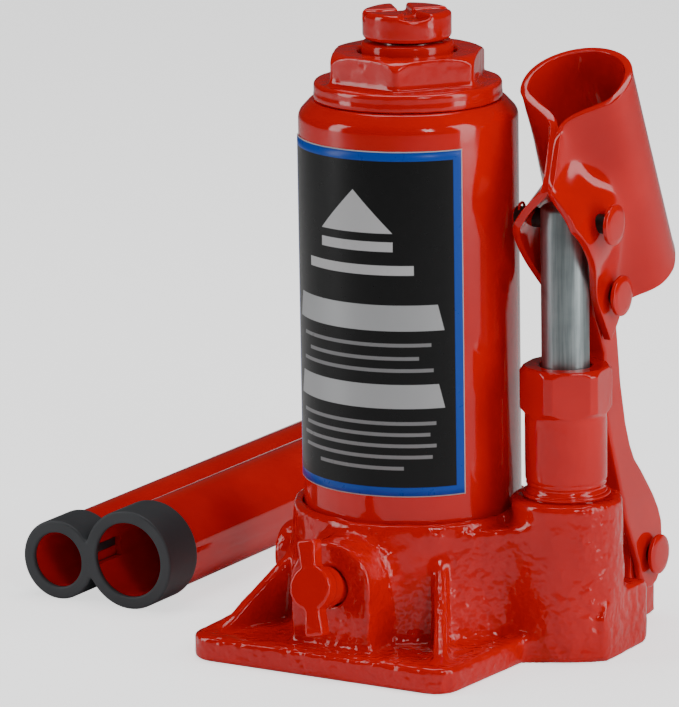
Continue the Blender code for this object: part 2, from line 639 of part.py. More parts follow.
def pump_body():
    """The pump cylinder screwed into its column, with its foot washer, gland seal and valve balls."""
    at = (PUMP_X, PUMP_Y, 0)
    washer_z = BOSS_TOP_Z + GAP
    ring("pump_foot_washer", PUMP_BODY_RADIUS + 0.0008, PUMP_THREAD_RADIUS + GAP, washer_z, washer_z + WASHER_THICK,
         "red_paint", facets=24, at=at)
    foot = washer_z + WASHER_THICK + GAP
    bore = PLUNGER_RADIUS + PUMP_CLEAR
    gland = bore + 0.0014
    shoulder = PUMP_BODY_RADIUS
    cylinder = turned("pump_cylinder", [
        (shoulder - 0.0012, PUMP_TOP_Z), (shoulder - 0.0002, PUMP_TOP_Z - 0.0016), (shoulder, PUMP_HEX_Z),
        (shoulder, foot + 0.0014), (shoulder - 0.0006, foot + 0.0011), (shoulder - 0.0006, foot + 0.0005),
        (shoulder, foot + 0.0002), (shoulder, foot), (PUMP_THREAD_RADIUS, foot), (PUMP_THREAD_RADIUS, PUMP_FOOT_Z),
        (0.0015, PUMP_FOOT_Z), (0.0015, PUMP_FOOT_Z + 0.004), (bore, PUMP_FOOT_Z + 0.006),
        (bore, PUMP_TOP_Z - 0.0052), (gland, PUMP_TOP_Z - 0.0052), (gland, PUMP_TOP_Z - 0.0026),
        (bore, PUMP_TOP_Z - 0.0026), (bore, PUMP_TOP_Z)], "red_paint", facets=24, at=at)
    hexagon = prism("pump_hexagon", 6, PUMP_HEX_FLATS, PUMP_HEX_Z, PUMP_TOP_Z - 0.0002, at=at,
                    turn=(0, 0, PUMP_HEX_TURN))
    keep = turned("pump_hex_chamfer", [(shoulder - 0.0002, PUMP_TOP_Z), (PUMP_HEX_ROUND, PUMP_TOP_Z - 0.0022),
                                       (PUMP_HEX_ROUND, PUMP_HEX_Z + 0.0012), (shoulder - 0.0004, PUMP_HEX_Z - 0.0004),
                                       (gland + 0.0008, PUMP_HEX_Z - 0.0004), (gland + 0.0008, PUMP_TOP_Z)],
                  facets=24, at=at)
    combine(hexagon, keep, "INTERSECT")
    join(cylinder, hexagon)
    ring("pump_gland_seal", gland - GAP, PLUNGER_RADIUS + 0.00015, PUMP_TOP_Z - 0.0052 + GAP,
         PUMP_TOP_Z - 0.0026 - GAP, "rubber", facets=COARSE, at=at)
    ball("suction_ball", SUCTION_BALL_RADIUS, "steel", at=(PUMP_X, PUMP_Y, 0.0090 + SUCTION_BALL_RADIUS + GAP))


def plunger():
    """The pump plunger, cross-drilled for its pin, with a cup seal at its foot."""
    axis = axis_empty("plunger_axis", (PUMP_X, PUMP_Y, 0))
    groove = PLUNGER_RADIUS - 0.0016
    foot = PLUNGER_FOOT_Z
    stem = turned("pump_plunger", [(0, PLUNGER_TOP_Z), (PLUNGER_RADIUS - 0.0012, PLUNGER_TOP_Z),
                                   (PLUNGER_RADIUS, PLUNGER_TOP_Z - 0.0016), (PLUNGER_RADIUS, foot + 0.0048),
                                   (groove, foot + 0.0048), (groove, foot + 0.0014),
                                   (PLUNGER_RADIUS, foot + 0.0014), (PLUNGER_RADIUS, foot), (0, foot)],
                  "zinc", closed=False, facets=24, parent=axis)
    cut(stem, rod("plunger_pin_room", PIN_RADIUS + PIN_CLEAR, -0.01, 0.01, facets=16,
                  at=(PUMP_X, PUMP_Y, PLUNGER_PIN_Z), turn=ALONG_X))
    ring("plunger_cup_seal", PLUNGER_RADIUS + 0.00015, groove + GAP, foot + 0.0014 + GAP, foot + 0.0048 - GAP,
         "seal_polymer", facets=COARSE, parent=axis)


# ---------------------------------------------------------------- handle socket and link


def blend_points(table, values):
    """Linear interpolation in a short table of pairs, in any order of its first number."""
    rows = np.array(sorted(table))
    return np.interp(values, rows[:, 0], rows[:, 1])


def socket_half_gap(s):
    """Half the distance between the sheet's front edges, to the middle of the sheet."""
    closed = SOCKET_SEAM_GAP / 2 + SOCKET_SHEET / 2
    opened = CHEEK_HALF_GAP + SOCKET_SHEET / 2
    low = CHEEK_HALF_GAP_LOW + SOCKET_SHEET / 2
    rise = np.clip((-s - 0.0172) / 0.0130, 0, 1)
    rise = 1 - (1 - rise) ** 2.2
    fall = np.clip((-s - 0.0330) / 0.0170, 0, 1)
    fall = fall * fall * (3 - 2 * fall)
    return closed + (opened - closed) * rise + (low - opened) * fall


def socket_section(u, s):
    """The folded sheet at depth s: u is 0 at the rear and 1 at the front edge. Gives (across, n).

    The rear is round. Forward of it the half width eases from the circle's to the cheeks' half gap,
    and the sheet then runs straight to its front edge. u is the share of the length along this line.
    """
    edge_x = socket_half_gap(s)[..., None]
    edge_n = blend_points(SOCKET_FRONT, s)[..., None]
    swing = np.linspace(0, math.acos(SOCKET_ROUND_TO / SOCKET_RADIUS), 24) + 0 * edge_x
    ahead = SOCKET_ROUND_TO + (edge_n - SOCKET_ROUND_TO) * np.linspace(0, 1, 40)[1:]
    ease = np.clip((ahead - SOCKET_FLAT_FROM) / (SOCKET_ROUND_TO - SOCKET_FLAT_FROM), 0, 1)
    ease = ease * ease * (3 - 2 * ease)
    circle = np.sqrt(np.maximum(SOCKET_RADIUS ** 2 - ahead ** 2, 0))
    flank = edge_x + (np.maximum(circle, edge_x) - edge_x) * ease
    across = np.concatenate([SOCKET_RADIUS * np.sin(swing), flank], axis=-1)
    n = np.concatenate([SOCKET_RADIUS * np.cos(swing), ahead], axis=-1)
    length = np.cumsum(np.hypot(np.diff(across, axis=-1), np.diff(n, axis=-1)), axis=-1)
    length = np.concatenate([0 * edge_x, length], axis=-1)
    aim = u[..., None] * length[..., -1:]
    after = np.clip((length < aim).sum(axis=-1, keepdims=True), 1, length.shape[-1] - 1)
    before = after - 1
    low, high = (np.take_along_axis(length, index, -1) for index in (before, after))
    share = (aim - low) / (high - low)
    found = []
    for line in (across, n):
        start, end = (np.take_along_axis(line, index, -1) for index in (before, after))
        found.append((start + (end - start) * share)[..., 0])
    return found


def socket_sheet(columns, rows):
    """Grid points (across, s, n) of the folded sheet, from the left front edge round to the right one."""
    u = np.linspace(-1, 1, columns)[None, :] * np.ones((rows, 1))
    v = np.linspace(0, 1, rows)[:, None] * np.ones((1, columns))
    s = -0.058 * v
    for _ in range(12):
        across, n = socket_section(np.abs(u), s)
        spread = np.clip((SOCKET_RADIUS - n) / (SOCKET_RADIUS - SOCKET_FRONT[0][1]), 0, 1.0)
        top = -SOCKET_MOUTH_DROP * spread ** 3.5
        foot = blend_points(SOCKET_FOOT, n)
        s = 0.5 * s + 0.5 * (top + (foot - top) * v)
    across, n = socket_section(np.abs(u), s)
    return across * np.sign(u), s, n


def socket_and_link():
    """The socket on the plunger's pin, the link's pin in its cheeks, and the link down to the base pin."""
    pin_at = Vector((PUMP_X, PUMP_Y, PLUNGER_PIN_Z))
    axis = axis_empty("socket_axis", pin_at)
    columns, rows = 25, 15
    across, s, n = socket_sheet(columns, rows)
    out = np.array([0, -math.cos(SOCKET_LEAN), math.sin(SOCKET_LEAN)])
    back = np.array([0, math.sin(SOCKET_LEAN), math.cos(SOCKET_LEAN)])
    mouth = np.array([PUMP_X, PUMP_Y + SOCKET_MOUTH_Y, SOCKET_MOUTH_Z]) - np.array(pin_at)
    points = mouth + across[..., None] * np.array([1, 0, 0]) + s[..., None] * out + n[..., None] * back
    points = points.reshape(-1, 3)
    faces = [(row * columns + column, row * columns + column + 1,
              (row + 1) * columns + column + 1, (row + 1) * columns + column)
             for row in range(rows - 1) for column in range(columns - 1)]
    mesh = bpy.data.meshes.new("handle_socket")
    mesh.from_pydata(points.tolist(), [], faces)
    socket = place("handle_socket", mesh, "red_paint", parent=axis)
    sheet = socket.modifiers.new("sheet", "SOLIDIFY")
    sheet.thickness = SOCKET_SHEET
    sheet.offset = 0
    sheet.use_even_offset = True
    link_at = Vector((PUMP_X, PUMP_Y + LINK_PIN_Y, LINK_PIN_Z))
    base_at = Vector((PUMP_X, PUMP_Y + BASE_PIN_Y, BASE_PIN_Z))
    for name, at in (("plunger_pin", pin_at), ("link_pin", link_at)):
        cut(socket, rod(name + "_hole", PIN_RADIUS + PIN_CLEAR, -0.02, 0.02, facets=16, at=at, turn=ALONG_X))

    plunger_reach = CHEEK_HALF_GAP + SOCKET_SHEET
    link_reach = CHEEK_HALF_GAP_LOW + SOCKET_SHEET
    pin("plunger_pin", axis, Vector((0, 0, 0)), plunger_reach + PLUNGER_PIN_STAND_OFF, plunger_reach)
    pin("link_pin", axis, link_at - pin_at, link_reach + LINK_PIN_STAND_OFF, link_reach)
    pin("base_pin", None, base_at, LINK_FOOT_HALF_WIDTH + BASE_PIN_STAND_OFF, LINK_FOOT_HALF_WIDTH)
    link_bar(base_at, link_at)


def pin(name, parent, at, head_reach, tail_reach):
    """A headed pin along X with its head on the right and a split pin through its left end."""
    radius = PIN_RADIUS
    tail = -tail_reach - PIN_TAIL
    head = head_reach
    body = turned(name, [(0, head + PIN_HEAD_THICK), (PIN_HEAD_RADIUS - 0.0005, head + PIN_HEAD_THICK),
                         (PIN_HEAD_RADIUS, head + PIN_HEAD_THICK - 0.0004), (PIN_HEAD_RADIUS, head),
                         (radius, head), (radius, tail + 0.0006), (radius - 0.0006, tail), (0, tail)],
                  "red_paint", closed=False, facets=COARSE, at=at, turn=ALONG_X, parent=parent)
    wire = SPLIT_PIN_RADIUS
    through = at + Vector((tail + PIN_TAIL / 2, 0, 0))
    cut(body, rod(name + "_split_room", wire + 0.0002, -0.01, 0.01, facets=8, at=through, parent=parent))
    rod(name + "_split_pin", wire, -0.0052, 0.0036, "zinc", chamfer=0.0002, facets=8,
        at=through, parent=parent)


def link_bar(base_at, link_at):
    """The pressed link: a channel open to the rear, bowed back to its wide foot round the base's lug."""
    axis = axis_empty("link_axis", base_at)
    rise = link_at - base_at
    eye = LINK_EYE_RADIUS
    foot = LINK_FOOT_RADIUS
    points = []
    for step in range(8):
        turn = math.radians(10 + 175 * step / 7)
        points.append((rise.y + eye * math.cos(turn), rise.z + eye * math.sin(turn)))
    front = [(rise.y - eye + 0.0008, rise.z - 0.0046), (rise.y + 0.0003, rise.z - 0.0145),
             (rise.y + 0.0003, rise.z - 0.0300), (rise.y + 0.0020, rise.z - 0.0380), (-0.0135, 0.0117)]
    points += front
    for step in range(11):
        turn = math.radians(185 + 200 * step / 10)
        points.append((foot * math.cos(turn), LINK_FOOT_DROP * math.sin(turn)))
    points += [(0.0057, 0.0077), (0.0043, 0.0111), (0.0019, 0.0147), (-0.0012, 0.0187), (-0.0042, 0.0224),
               (-0.0076, 0.0262), (-0.0096, 0.0300), (-0.0114, 0.0363)]
    bar = outline("pump_link", points, -LINK_FOOT_HALF_WIDTH, LINK_FOOT_HALF_WIDTH, "red_paint",
                  turn=(math.pi / 2, 0, math.pi / 2), parent=axis)
    web = LINK_SHEET + 0.0006
    channel = outline("link_channel", [(front[1][0] + web + 0.0016, front[1][1] - 0.002),
                                       (front[2][0] + web, front[2][1]), (front[3][0] + web, front[3][1]),
                                       (-0.0125, 0.0160), (-0.0300, 0.0160), (-0.0300, -0.0200),
                                       (0.0300, -0.0200), (0.0300, front[1][1] - 0.002)],
                      -LINK_FOOT_HALF_WIDTH + LINK_SHEET, LINK_FOOT_HALF_WIDTH - LINK_SHEET,
                      turn=(math.pi / 2, 0, math.pi / 2), parent=axis)
    slim = LINK_FOOT_HALF_WIDTH - LINK_HALF_WIDTH
    for obj in (bar, channel):
        for vertex in obj.data.vertices:
            share = min(1.0, max(0.0, (vertex.co.y - 0.016) / (rise.z - 0.040)))
            vertex.co.z -= math.copysign(slim * share, vertex.co.z)
    cut(bar, channel)
    cut(bar, rod("link_eye_room", LINK_EYE_BORE, -0.02, 0.02, facets=24, at=rise, turn=ALONG_X, parent=axis))
    cut(bar, rod("link_foot_room", PIN_RADIUS + PIN_CLEAR, -0.02, 0.02, facets=16, turn=ALONG_X, parent=axis))


# ---------------------------------------------------------------- valves


def release_valve():
    """The winged release screw in its sloping bore, with its O-ring, and the ball it presses home."""
    axis = axis_empty("valve_axis", VALVE_MOUTH, VALVE_TURN)
    stem, thread = VALVE_STEM_RADIUS, VALVE_THREAD_RADIUS
    clear = GAP + VALVE_STEM_RADIUS * math.tan(VALVE_TILT)
    wing = VALVE_STEM_OUT + VALVE_WING_THICK
    screw = turned("release_valve_screw", [
        (0, wing), (VALVE_HUB_RADIUS - 0.0006, wing), (VALVE_HUB_RADIUS, wing - 0.0006),
        (VALVE_HUB_RADIUS, VALVE_STEM_OUT), (stem, VALVE_STEM_OUT), (stem, clear), (thread - 0.0008, clear),
        (thread - 0.0008, -0.0006), (thread, -0.0014), (thread, -VALVE_THREAD_LENGTH + 0.001),
        (thread - 0.001, -VALVE_THREAD_LENGTH), (0, -VALVE_THREAD_LENGTH)],
        "red_paint", closed=False, facets=24, parent=axis)
    half = VALVE_WING_WIDTH / 2
    arms = outline("valve_wings", rounded([(-half, -VALVE_WING_LENGTH / 2), (half, -VALVE_WING_LENGTH / 2),
                                           (half, VALVE_WING_LENGTH / 2), (-half, VALVE_WING_LENGTH / 2)], 0.0006, 2),
                   VALVE_STEM_OUT + 0.0001, wing - 0.0001, turn=(0, 0, VALVE_WING_TURN), parent=axis)
    join(screw, arms)
    ball("release_valve_ball", VALVE_BALL_RADIUS, "steel",
         at=VALVE_MOUTH - VALVE_AXIS * (VALVE_THREAD_LENGTH + VALVE_BALL_RADIUS + GAP))


def relief_valve():
    """The relief plug in the side boss, with the ball behind it."""
    at = Vector((RELIEF_FACE_X, RELIEF_Y, RELIEF_Z))
    turn = (0, -math.pi / 2, 0)
    length = RELIEF_PLUG_LENGTH
    plug = turned("relief_valve_plug", [(0, -0.0004), (RELIEF_RADIUS - 0.0004, -0.0004),
                                        (RELIEF_RADIUS, -0.0008), (RELIEF_RADIUS, -length), (0, -length)],
                  "steel", closed=False, facets=24, at=at, turn=turn)
    cut(plug, box("plug_slot", (-0.006, -0.0005, -0.0022), (0.006, 0.0005, 0.002), at=at, turn=turn))
    spring_top = -length - GAP
    ring("relief_spring", RELIEF_BALL_RADIUS, RELIEF_BALL_RADIUS - 0.0008, spring_top - RELIEF_SPRING_LENGTH,
         spring_top, "steel", facets=16, at=at, turn=turn)
    ball("relief_ball", RELIEF_BALL_RADIUS, "steel",
         at=at + Vector((length + RELIEF_SPRING_LENGTH + 2 * GAP + RELIEF_BALL_RADIUS, 0, 0)))


# ---------------------------------------------------------------- handle set


def handle_set():
    """Two tubes side by side in the double end clip, along +Y from their near ends."""
    clip_radius = LARGE_TUBE_RADIUS + CLIP_CLEAR + CLIP_WALL
    small_clip_radius = SMALL_TUBE_RADIUS + CLIP_CLEAR + CLIP_WALL
    near = CLIP_FRONT_Y + CLIP_FLANGE + GAP
    spots = (("handle_tube_large", LARGE_TUBE_RADIUS, Vector((LARGE_TUBE_X, 0, clip_radius)), clip_radius),
             ("handle_tube_small", SMALL_TUBE_RADIUS, Vector((LARGE_TUBE_X - TUBE_SPACING, 0, small_clip_radius)),
              small_clip_radius))
    shells = []
    holes = []
    for name, radius, centre, shell in spots:
        tube = ring(name, radius, radius - TUBE_WALL, near, near + TUBE_LENGTH, "red_paint", facets=28,
                    at=centre, turn=ALONG_Y)
        if name == "handle_tube_large":
            slot = box("tube_slot", (-0.02, near - 0.002, -TUBE_SLOT_WIDTH / 2),
                       (0.02, near + TUBE_SLOT_DEPTH, TUBE_SLOT_WIDTH / 2), at=centre)
            cut(tube, slot)
        low, high = CLIP_FRONT_Y, CLIP_FRONT_Y + CLIP_LENGTH
        finish = "grey_plastic" if not shells else None
        shells.append(rod("handle_clip" if finish else name + "_shell", shell, low, high, finish, chamfer=0.0006,
                          facets=32, at=centre, turn=ALONG_Y))
        holes.append(rod(name + "_room", radius + CLIP_CLEAR, low + CLIP_FLANGE, high + 0.01, facets=24,
                         at=centre, turn=ALONG_Y))
        holes.append(rod(name + "_hole", radius - CLIP_HOLE_IN, low - 0.01, high + 0.01, facets=24,
                         at=centre, turn=ALONG_Y))
    join(shells[0], shells[1])
    cut(shells[0], *holes)


base_casting()
tank()
filler_plug()
cylinder_and_nut()
ram_and_screw()
pump_body()
plunger()
socket_and_link()
release_valve()
relief_valve()
handle_set()
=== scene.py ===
"""Looks of a hydraulic bottle jack and its handle set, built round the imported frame.

Shapes are worked out in millimetres, in the frame's own axes, and written to meshes in metres.
"""

import math

import bpy
import numpy as np
from mathutils import Matrix, Vector


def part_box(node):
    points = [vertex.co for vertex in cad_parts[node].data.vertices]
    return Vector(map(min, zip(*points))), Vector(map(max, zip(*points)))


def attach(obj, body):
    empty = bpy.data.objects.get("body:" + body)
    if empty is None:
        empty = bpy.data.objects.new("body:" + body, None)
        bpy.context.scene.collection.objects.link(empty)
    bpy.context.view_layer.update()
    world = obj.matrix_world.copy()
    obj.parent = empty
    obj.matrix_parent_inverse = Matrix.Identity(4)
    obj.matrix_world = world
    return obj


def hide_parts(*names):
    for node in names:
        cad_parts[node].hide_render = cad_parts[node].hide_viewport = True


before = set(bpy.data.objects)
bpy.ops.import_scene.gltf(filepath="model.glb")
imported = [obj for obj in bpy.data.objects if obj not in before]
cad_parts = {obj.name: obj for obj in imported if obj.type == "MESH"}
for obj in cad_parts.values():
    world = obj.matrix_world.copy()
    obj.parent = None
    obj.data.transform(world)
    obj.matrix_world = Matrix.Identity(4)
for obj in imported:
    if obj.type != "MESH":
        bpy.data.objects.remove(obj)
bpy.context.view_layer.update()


# ------------------------------------------------------------ studio
# A white ground, with large soft lights to the right, left, front and overhead. The camera stands in
# front of the jack, a little to the pump's side, with a long lens.

scene = bpy.context.scene
camera_data = bpy.data.cameras.new("camera")
camera_data.lens = 288.99
camera_data.sensor_width = 36
camera_data.clip_end = 20
camera = bpy.data.objects.new("camera", camera_data)
scene.collection.objects.link(camera)
swing, height, roll = math.radians(30.743), math.radians(12.995), math.radians(-0.9037)
backward = Vector((math.sin(swing) * math.cos(height), -math.cos(swing) * math.cos(height), math.sin(height)))
level = Vector((math.cos(swing), math.sin(swing), 0))
rising = backward.cross(level)
across = math.cos(roll) * level + math.sin(roll) * rising
upward = math.cos(roll) * rising - math.sin(roll) * level
camera.matrix_world = Matrix.Translation((0.68303, -1.18305, 0.38637)) @ Matrix(
    (across, upward, backward)).transposed().to_4x4()
scene.camera = camera



def seen_strength(tree, socket, unseen, seen):
    """Feeds a strength that has one value for the camera's own rays and another for all others."""
    rays = tree.nodes.new("ShaderNodeLightPath")
    power = tree.nodes.new("ShaderNodeMapRange")
    power.inputs["To Min"].default_value = unseen
    power.inputs["To Max"].default_value = seen
    tree.links.new(rays.outputs["Is Camera Ray"], power.inputs["Value"])
    tree.links.new(power.outputs["Result"], socket)


floor_mesh = bpy.data.meshes.new("floor")
floor_mesh.from_pydata([(-6, -6, 0), (6, -6, 0), (6, 6, 0), (-6, 6, 0)], [], [(0, 1, 2, 3)])
floor = bpy.data.objects.new("floor", floor_mesh)
scene.collection.objects.link(floor)
floor_paint = bpy.data.materials.new("floor_white")
floor_paint.use_nodes = True
floor_shader = floor_paint.node_tree.nodes["Principled BSDF"]
floor_shader.inputs["Base Color"].default_value = (0.93, 0.93, 0.93, 1)
floor_shader.inputs["Roughness"].default_value = 0.8
floor_shader.inputs["Specular IOR Level"].default_value = 0.1
floor_shader.inputs["Emission Color"].default_value = (1, 1, 1, 1)
seen_strength(floor_paint.node_tree, floor_shader.inputs["Emission Strength"], 0.0, 1.3)
floor_mesh.materials.append(floor_paint)

world = bpy.data.worlds.new("studio")
world.use_nodes = True
sky = world.node_tree.nodes["Background"]
seen_strength(world.node_tree, sky.inputs["Strength"], 0.05, 3.2)
sky.inputs["Color"].default_value = (1.0, 1.0, 1.0, 1)
scene.world = world


def soft_light(name, place, aim, size, watts):
    """A rectangular soft light that faces the point it is aimed at."""
    data = bpy.data.lights.new(name, "AREA")
    data.shape = "RECTANGLE"
    data.size, data.size_y = size
    data.energy = watts
    lamp = bpy.data.objects.new(name, data)
    lamp.location = place
    lamp.rotation_euler = (Vector(aim) - Vector(place)).to_track_quat("-Z", "Y").to_euler()
    scene.collection.objects.link(lamp)


soft_light("right_softbox", (0.80, 0.05, 0.40), (0, 0, 0.08), (0.30, 0.85), 3.6)
soft_light("left_softbox", (-0.75, -0.60, 0.40), (0, 0, 0.06), (0.28, 0.80), 3.2)
soft_light("front_softbox", (0.95, -0.75, 0.75), (0, 0, 0.06), (0.22, 0.50), 3.0)
soft_light("top_softbox", (-0.1, 0.15, 1.10), (0, 0, 0), (0.8, 0.5), 4.8)


# ------------------------------------------------------------ cast base
# One rough iron casting: floor plate, collar round the tank, pump column, valve boss, ribs and the lug
# for the link. It is sand-cast, machined where parts screw in, and dipped in thick red enamel.


class Wire:
    """A shader socket. Arithmetic on it adds the Math nodes that work the expression out."""

    def __init__(self, finish, socket):
        self.finish, self.socket = finish, socket

    def _math(self, kind, first, second=None):
        sockets = {0: first} if second is None else {0: first, 1: second}
        return self.finish.make("Math", {"operation": kind}, sockets)

    def __add__(self, other): return self._math("ADD", self, other)
    def __radd__(self, other): return self._math("ADD", other, self)
    def __sub__(self, other): return self._math("SUBTRACT", self, other)
    def __rsub__(self, other): return self._math("SUBTRACT", other, self)
    def __mul__(self, other): return self._math("MULTIPLY", self, other)
    def __rmul__(self, other): return self._math("MULTIPLY", other, self)
    def __abs__(self): return self._math("ABSOLUTE", self)
    def least(self, other): return self._math("MINIMUM", self, other)
    def most(self, other): return self._math("MAXIMUM", self, other)


class Finish:
    """A Principled material: constants are set at once, and what varies over the surface is fed in."""

    def __init__(self, name, **constants):
        self.material = bpy.data.materials.new(name)
        self.material.use_nodes = True
        self.tree = self.material.node_tree
        self.shader = self.tree.nodes["Principled BSDF"]
        for key, value in constants.items():
            self.feed(self.shader.inputs[key.replace("_", " ")], value)

    def feed(self, socket, value):
        """Sets an input, or links it where the value is a Wire. A colour gets its alpha."""
        if isinstance(value, Wire):
            self.tree.links.new(value.socket, socket)
        elif isinstance(value, tuple) and len(value) == 3 and socket.type == "RGBA":
            socket.default_value = (*value, 1)
        else:
            socket.default_value = value

    def make(self, kind, settings=None, sockets=None, output=0):
        """A new shader node with these settings and inputs, as a Wire from one of its outputs."""
        node = self.tree.nodes.new("ShaderNode" + kind)
        for key, value in (settings or {}).items():
            setattr(node, key, value)
        for key, value in (sockets or {}).items():
            self.feed(node.inputs[key], value)
        return Wire(self, node.outputs[output])

    def place(self, scale=(1, 1, 1)):
        """Object coordinates, stretched by this scale."""
        spot = self.make("TexCoord", output=3)
        return self.make("Mapping", {}, {"Vector": spot, "Scale": scale})

    def noise(self, size, detail=3.0, rough=0.5, spot=None):
        """Noise whose lumps are about this many metres across."""
        where = {"Scale": 1 / size, "Detail": detail, "Roughness": rough, "Vector": spot or self.place()}
        return self.make("TexNoise", {}, where)

    def step(self, value, low, high):
        """0 below the low value, 1 above the high one, and smooth between."""
        return self.make("MapRange", {"interpolation_type": "SMOOTHSTEP"},
                         {"Value": value, "From Min": low, "From Max": high})

    def mix(self, mask, first, second):
        """One colour where the mask is 0 and the other where it is 1."""
        return self.make("Mix", {"data_type": "RGBA"}, {0: mask, 6: first, 7: second}, output=2)

    def axis(self, index):
        """Object X, Y or Z in metres."""
        return self.make("SeparateXYZ", {}, {0: self.place()}, output=index)

    def bump(self, height, distance, under=None):
        """A normal tilted by this height, on top of the bump under it where there is one."""
        sockets = {"Height": height, "Distance": distance, "Strength": 1.0}
        if under is not None:
            sockets["Normal"] = under
        return self.make("Bump", {}, sockets)

    def colour(self, value): self.feed(self.shader.inputs["Base Color"], value)
    def rough(self, value): self.feed(self.shader.inputs["Roughness"], value)
    def metal(self, value): self.feed(self.shader.inputs["Metallic"], value)
    def normal(self, value): self.feed(self.shader.inputs["Normal"], value)


def enamel(name, peel, lumps, patches):
    """Thick glossy red enamel. peel is the depth of its orange peel, lumps the depth of the casting under it,
    and patches how much of the surface is coarse."""
    paint = Finish(name, Coat_Weight=0.45, Coat_Roughness=0.04, Specular_IOR_Level=0.35)
    tone = paint.noise(0.022, 3)
    paint.colour(paint.mix(paint.step(tone, 0.35, 0.70), (0.700, 0.0020, 0.0010), (0.800, 0.0035, 0.0018)))
    paint.rough(0.10 + 0.12 * paint.step(paint.noise(0.006, 4), 0.45, 0.85))
    fine = paint.noise(0.0013, 1, 0.4)
    coarse = paint.noise(0.0024, 1, 0.4)
    where = paint.step(paint.noise(0.016, 2), 0.62 - 0.3 * patches, 0.74 - 0.2 * patches)
    smooth = paint.bump(fine, peel)
    paint.normal(paint.bump(coarse * where, lumps, under=smooth) if patches else smooth)
    return paint


cast_enamel = enamel("cast_enamel", 0.00005, 0.00075, 1.0)


def span(node):
    """Lowest and highest corners of a CAD node, in millimetres."""
    low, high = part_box(node)
    return np.array(low) * 1000, np.array(high) * 1000


low, high = span("base_casting")
collar_top = high[2] - 5.0
plate_half, plate_thick = 37.0, 6.6
column_x, column_y = 42.2, 2.0
column_top = high[2]
lug_y, lug_z = 35.5, 17.3
valve_x, valve_face, valve_z = -0.8, -40.0, 20.8
valve_tilt = math.radians(12)
relief_y, relief_z, relief_face = 6.0, 15.0, low[0]
base_right = high[0]
collar_radius, collar_flare = 29.5, 0.095
column_radius, column_flare = 13.7, 0.02
boss_radius, relief_radius = 11.1, 7.6
lug_radius, lug_half, lug_hole = 6.6, 3.6, 2.7
tank_seat_radius, tank_seat_z = 27.3, 26.0
pump_seat_radius, pump_seat_z = 8.3, 17.9
valve_hole, relief_hole = 4.9, 4.3
casting_foot = 0.4


def corner(x, y, radius, start, steps=5):
    """Points of a quarter turn about (x, y), from the start angle in degrees."""
    turn = np.radians(np.linspace(start, start + 90, steps))
    return list(zip(x + radius * np.cos(turn), y + radius * np.sin(turn)))


def polygon(u, v, corners):
    """Distance to a flat polygon: the least distance to its sides, negative inside by the crossing rule."""
    least, sign = np.inf, 1.0
    count = len(corners)
    for index in range(count):
        (ax, ay), (bx, by) = corners[index], corners[index - 1]
        share = np.clip(((u - ax) * (bx - ax) + (v - ay) * (by - ay)) / ((bx - ax) ** 2 + (by - ay) ** 2), 0, 1)
        least = np.minimum(least, np.hypot(u - ax - share * (bx - ax), v - ay - share * (by - ay)))
        crosses = ((ay > v) != (by > v)) & ((u - ax) * (by - ay) * np.sign(by - ay)
                                             < (v - ay) * (bx - ax) * np.sign(by - ay))
        sign = np.where(crosses, -sign, sign)
    return least * sign


def slab(flat, height, edge):
    """Where both distances are negative, with the edge between the two rounded by this radius."""
    first, second = flat + edge, height + edge
    outside = np.hypot(np.maximum(first, 0), np.maximum(second, 0))
    return np.minimum(np.maximum(first, second), 0) + outside - edge


def blend(first, second, reach):
    """The union of two shapes with a fillet: the lesser distance, lowered where the two are alike."""
    near = np.maximum(reach - np.abs(first - second), 0) / reach
    return np.minimum(first, second) - near * near * reach / 4


def carve(first, second, reach):
    """The first shape without the second, with a rounded edge."""
    return -blend(-first, second, reach)


def between(value, low_end, high_end):
    """Distance to the space between two planes."""
    return np.abs(value - (low_end + high_end) / 2) - (high_end - low_end) / 2


def lumps(x, y, z, size, seed):
    """Smooth value noise from -1 to 1: random numbers on a cubic lattice, mixed smoothly along each axis."""
    table = np.random.default_rng(seed).uniform(-1, 1, (24, 24, 24))
    total = 0.0
    parts = []
    for value in (x, y, z):
        whole = np.floor(value / size)
        share = value / size - whole
        parts.append((whole.astype(int), share * share * share * (share * (6 * share - 15) + 10)))
    for turn in range(8):
        weight, index = 1.0, []
        for bit, (whole, share) in enumerate(parts):
            ahead = (turn >> bit) & 1
            weight = weight * (share if ahead else 1 - share)
            index.append((whole + ahead) % 24)
        total = total + weight * table[tuple(index)]
    return total


def show(name, points, faces, finish, smooth=True):
    """A mesh object of points in millimetres."""
    mesh = bpy.data.meshes.new(name)
    mesh.from_pydata((np.asarray(points) * 0.001).tolist(), [], faces)
    mesh.polygons.foreach_set("use_smooth", [smooth] * len(mesh.polygons))
    mesh.materials.append(finish.material)
    piece = bpy.data.objects.new(name, mesh)
    scene.collection.objects.link(piece)
    return piece


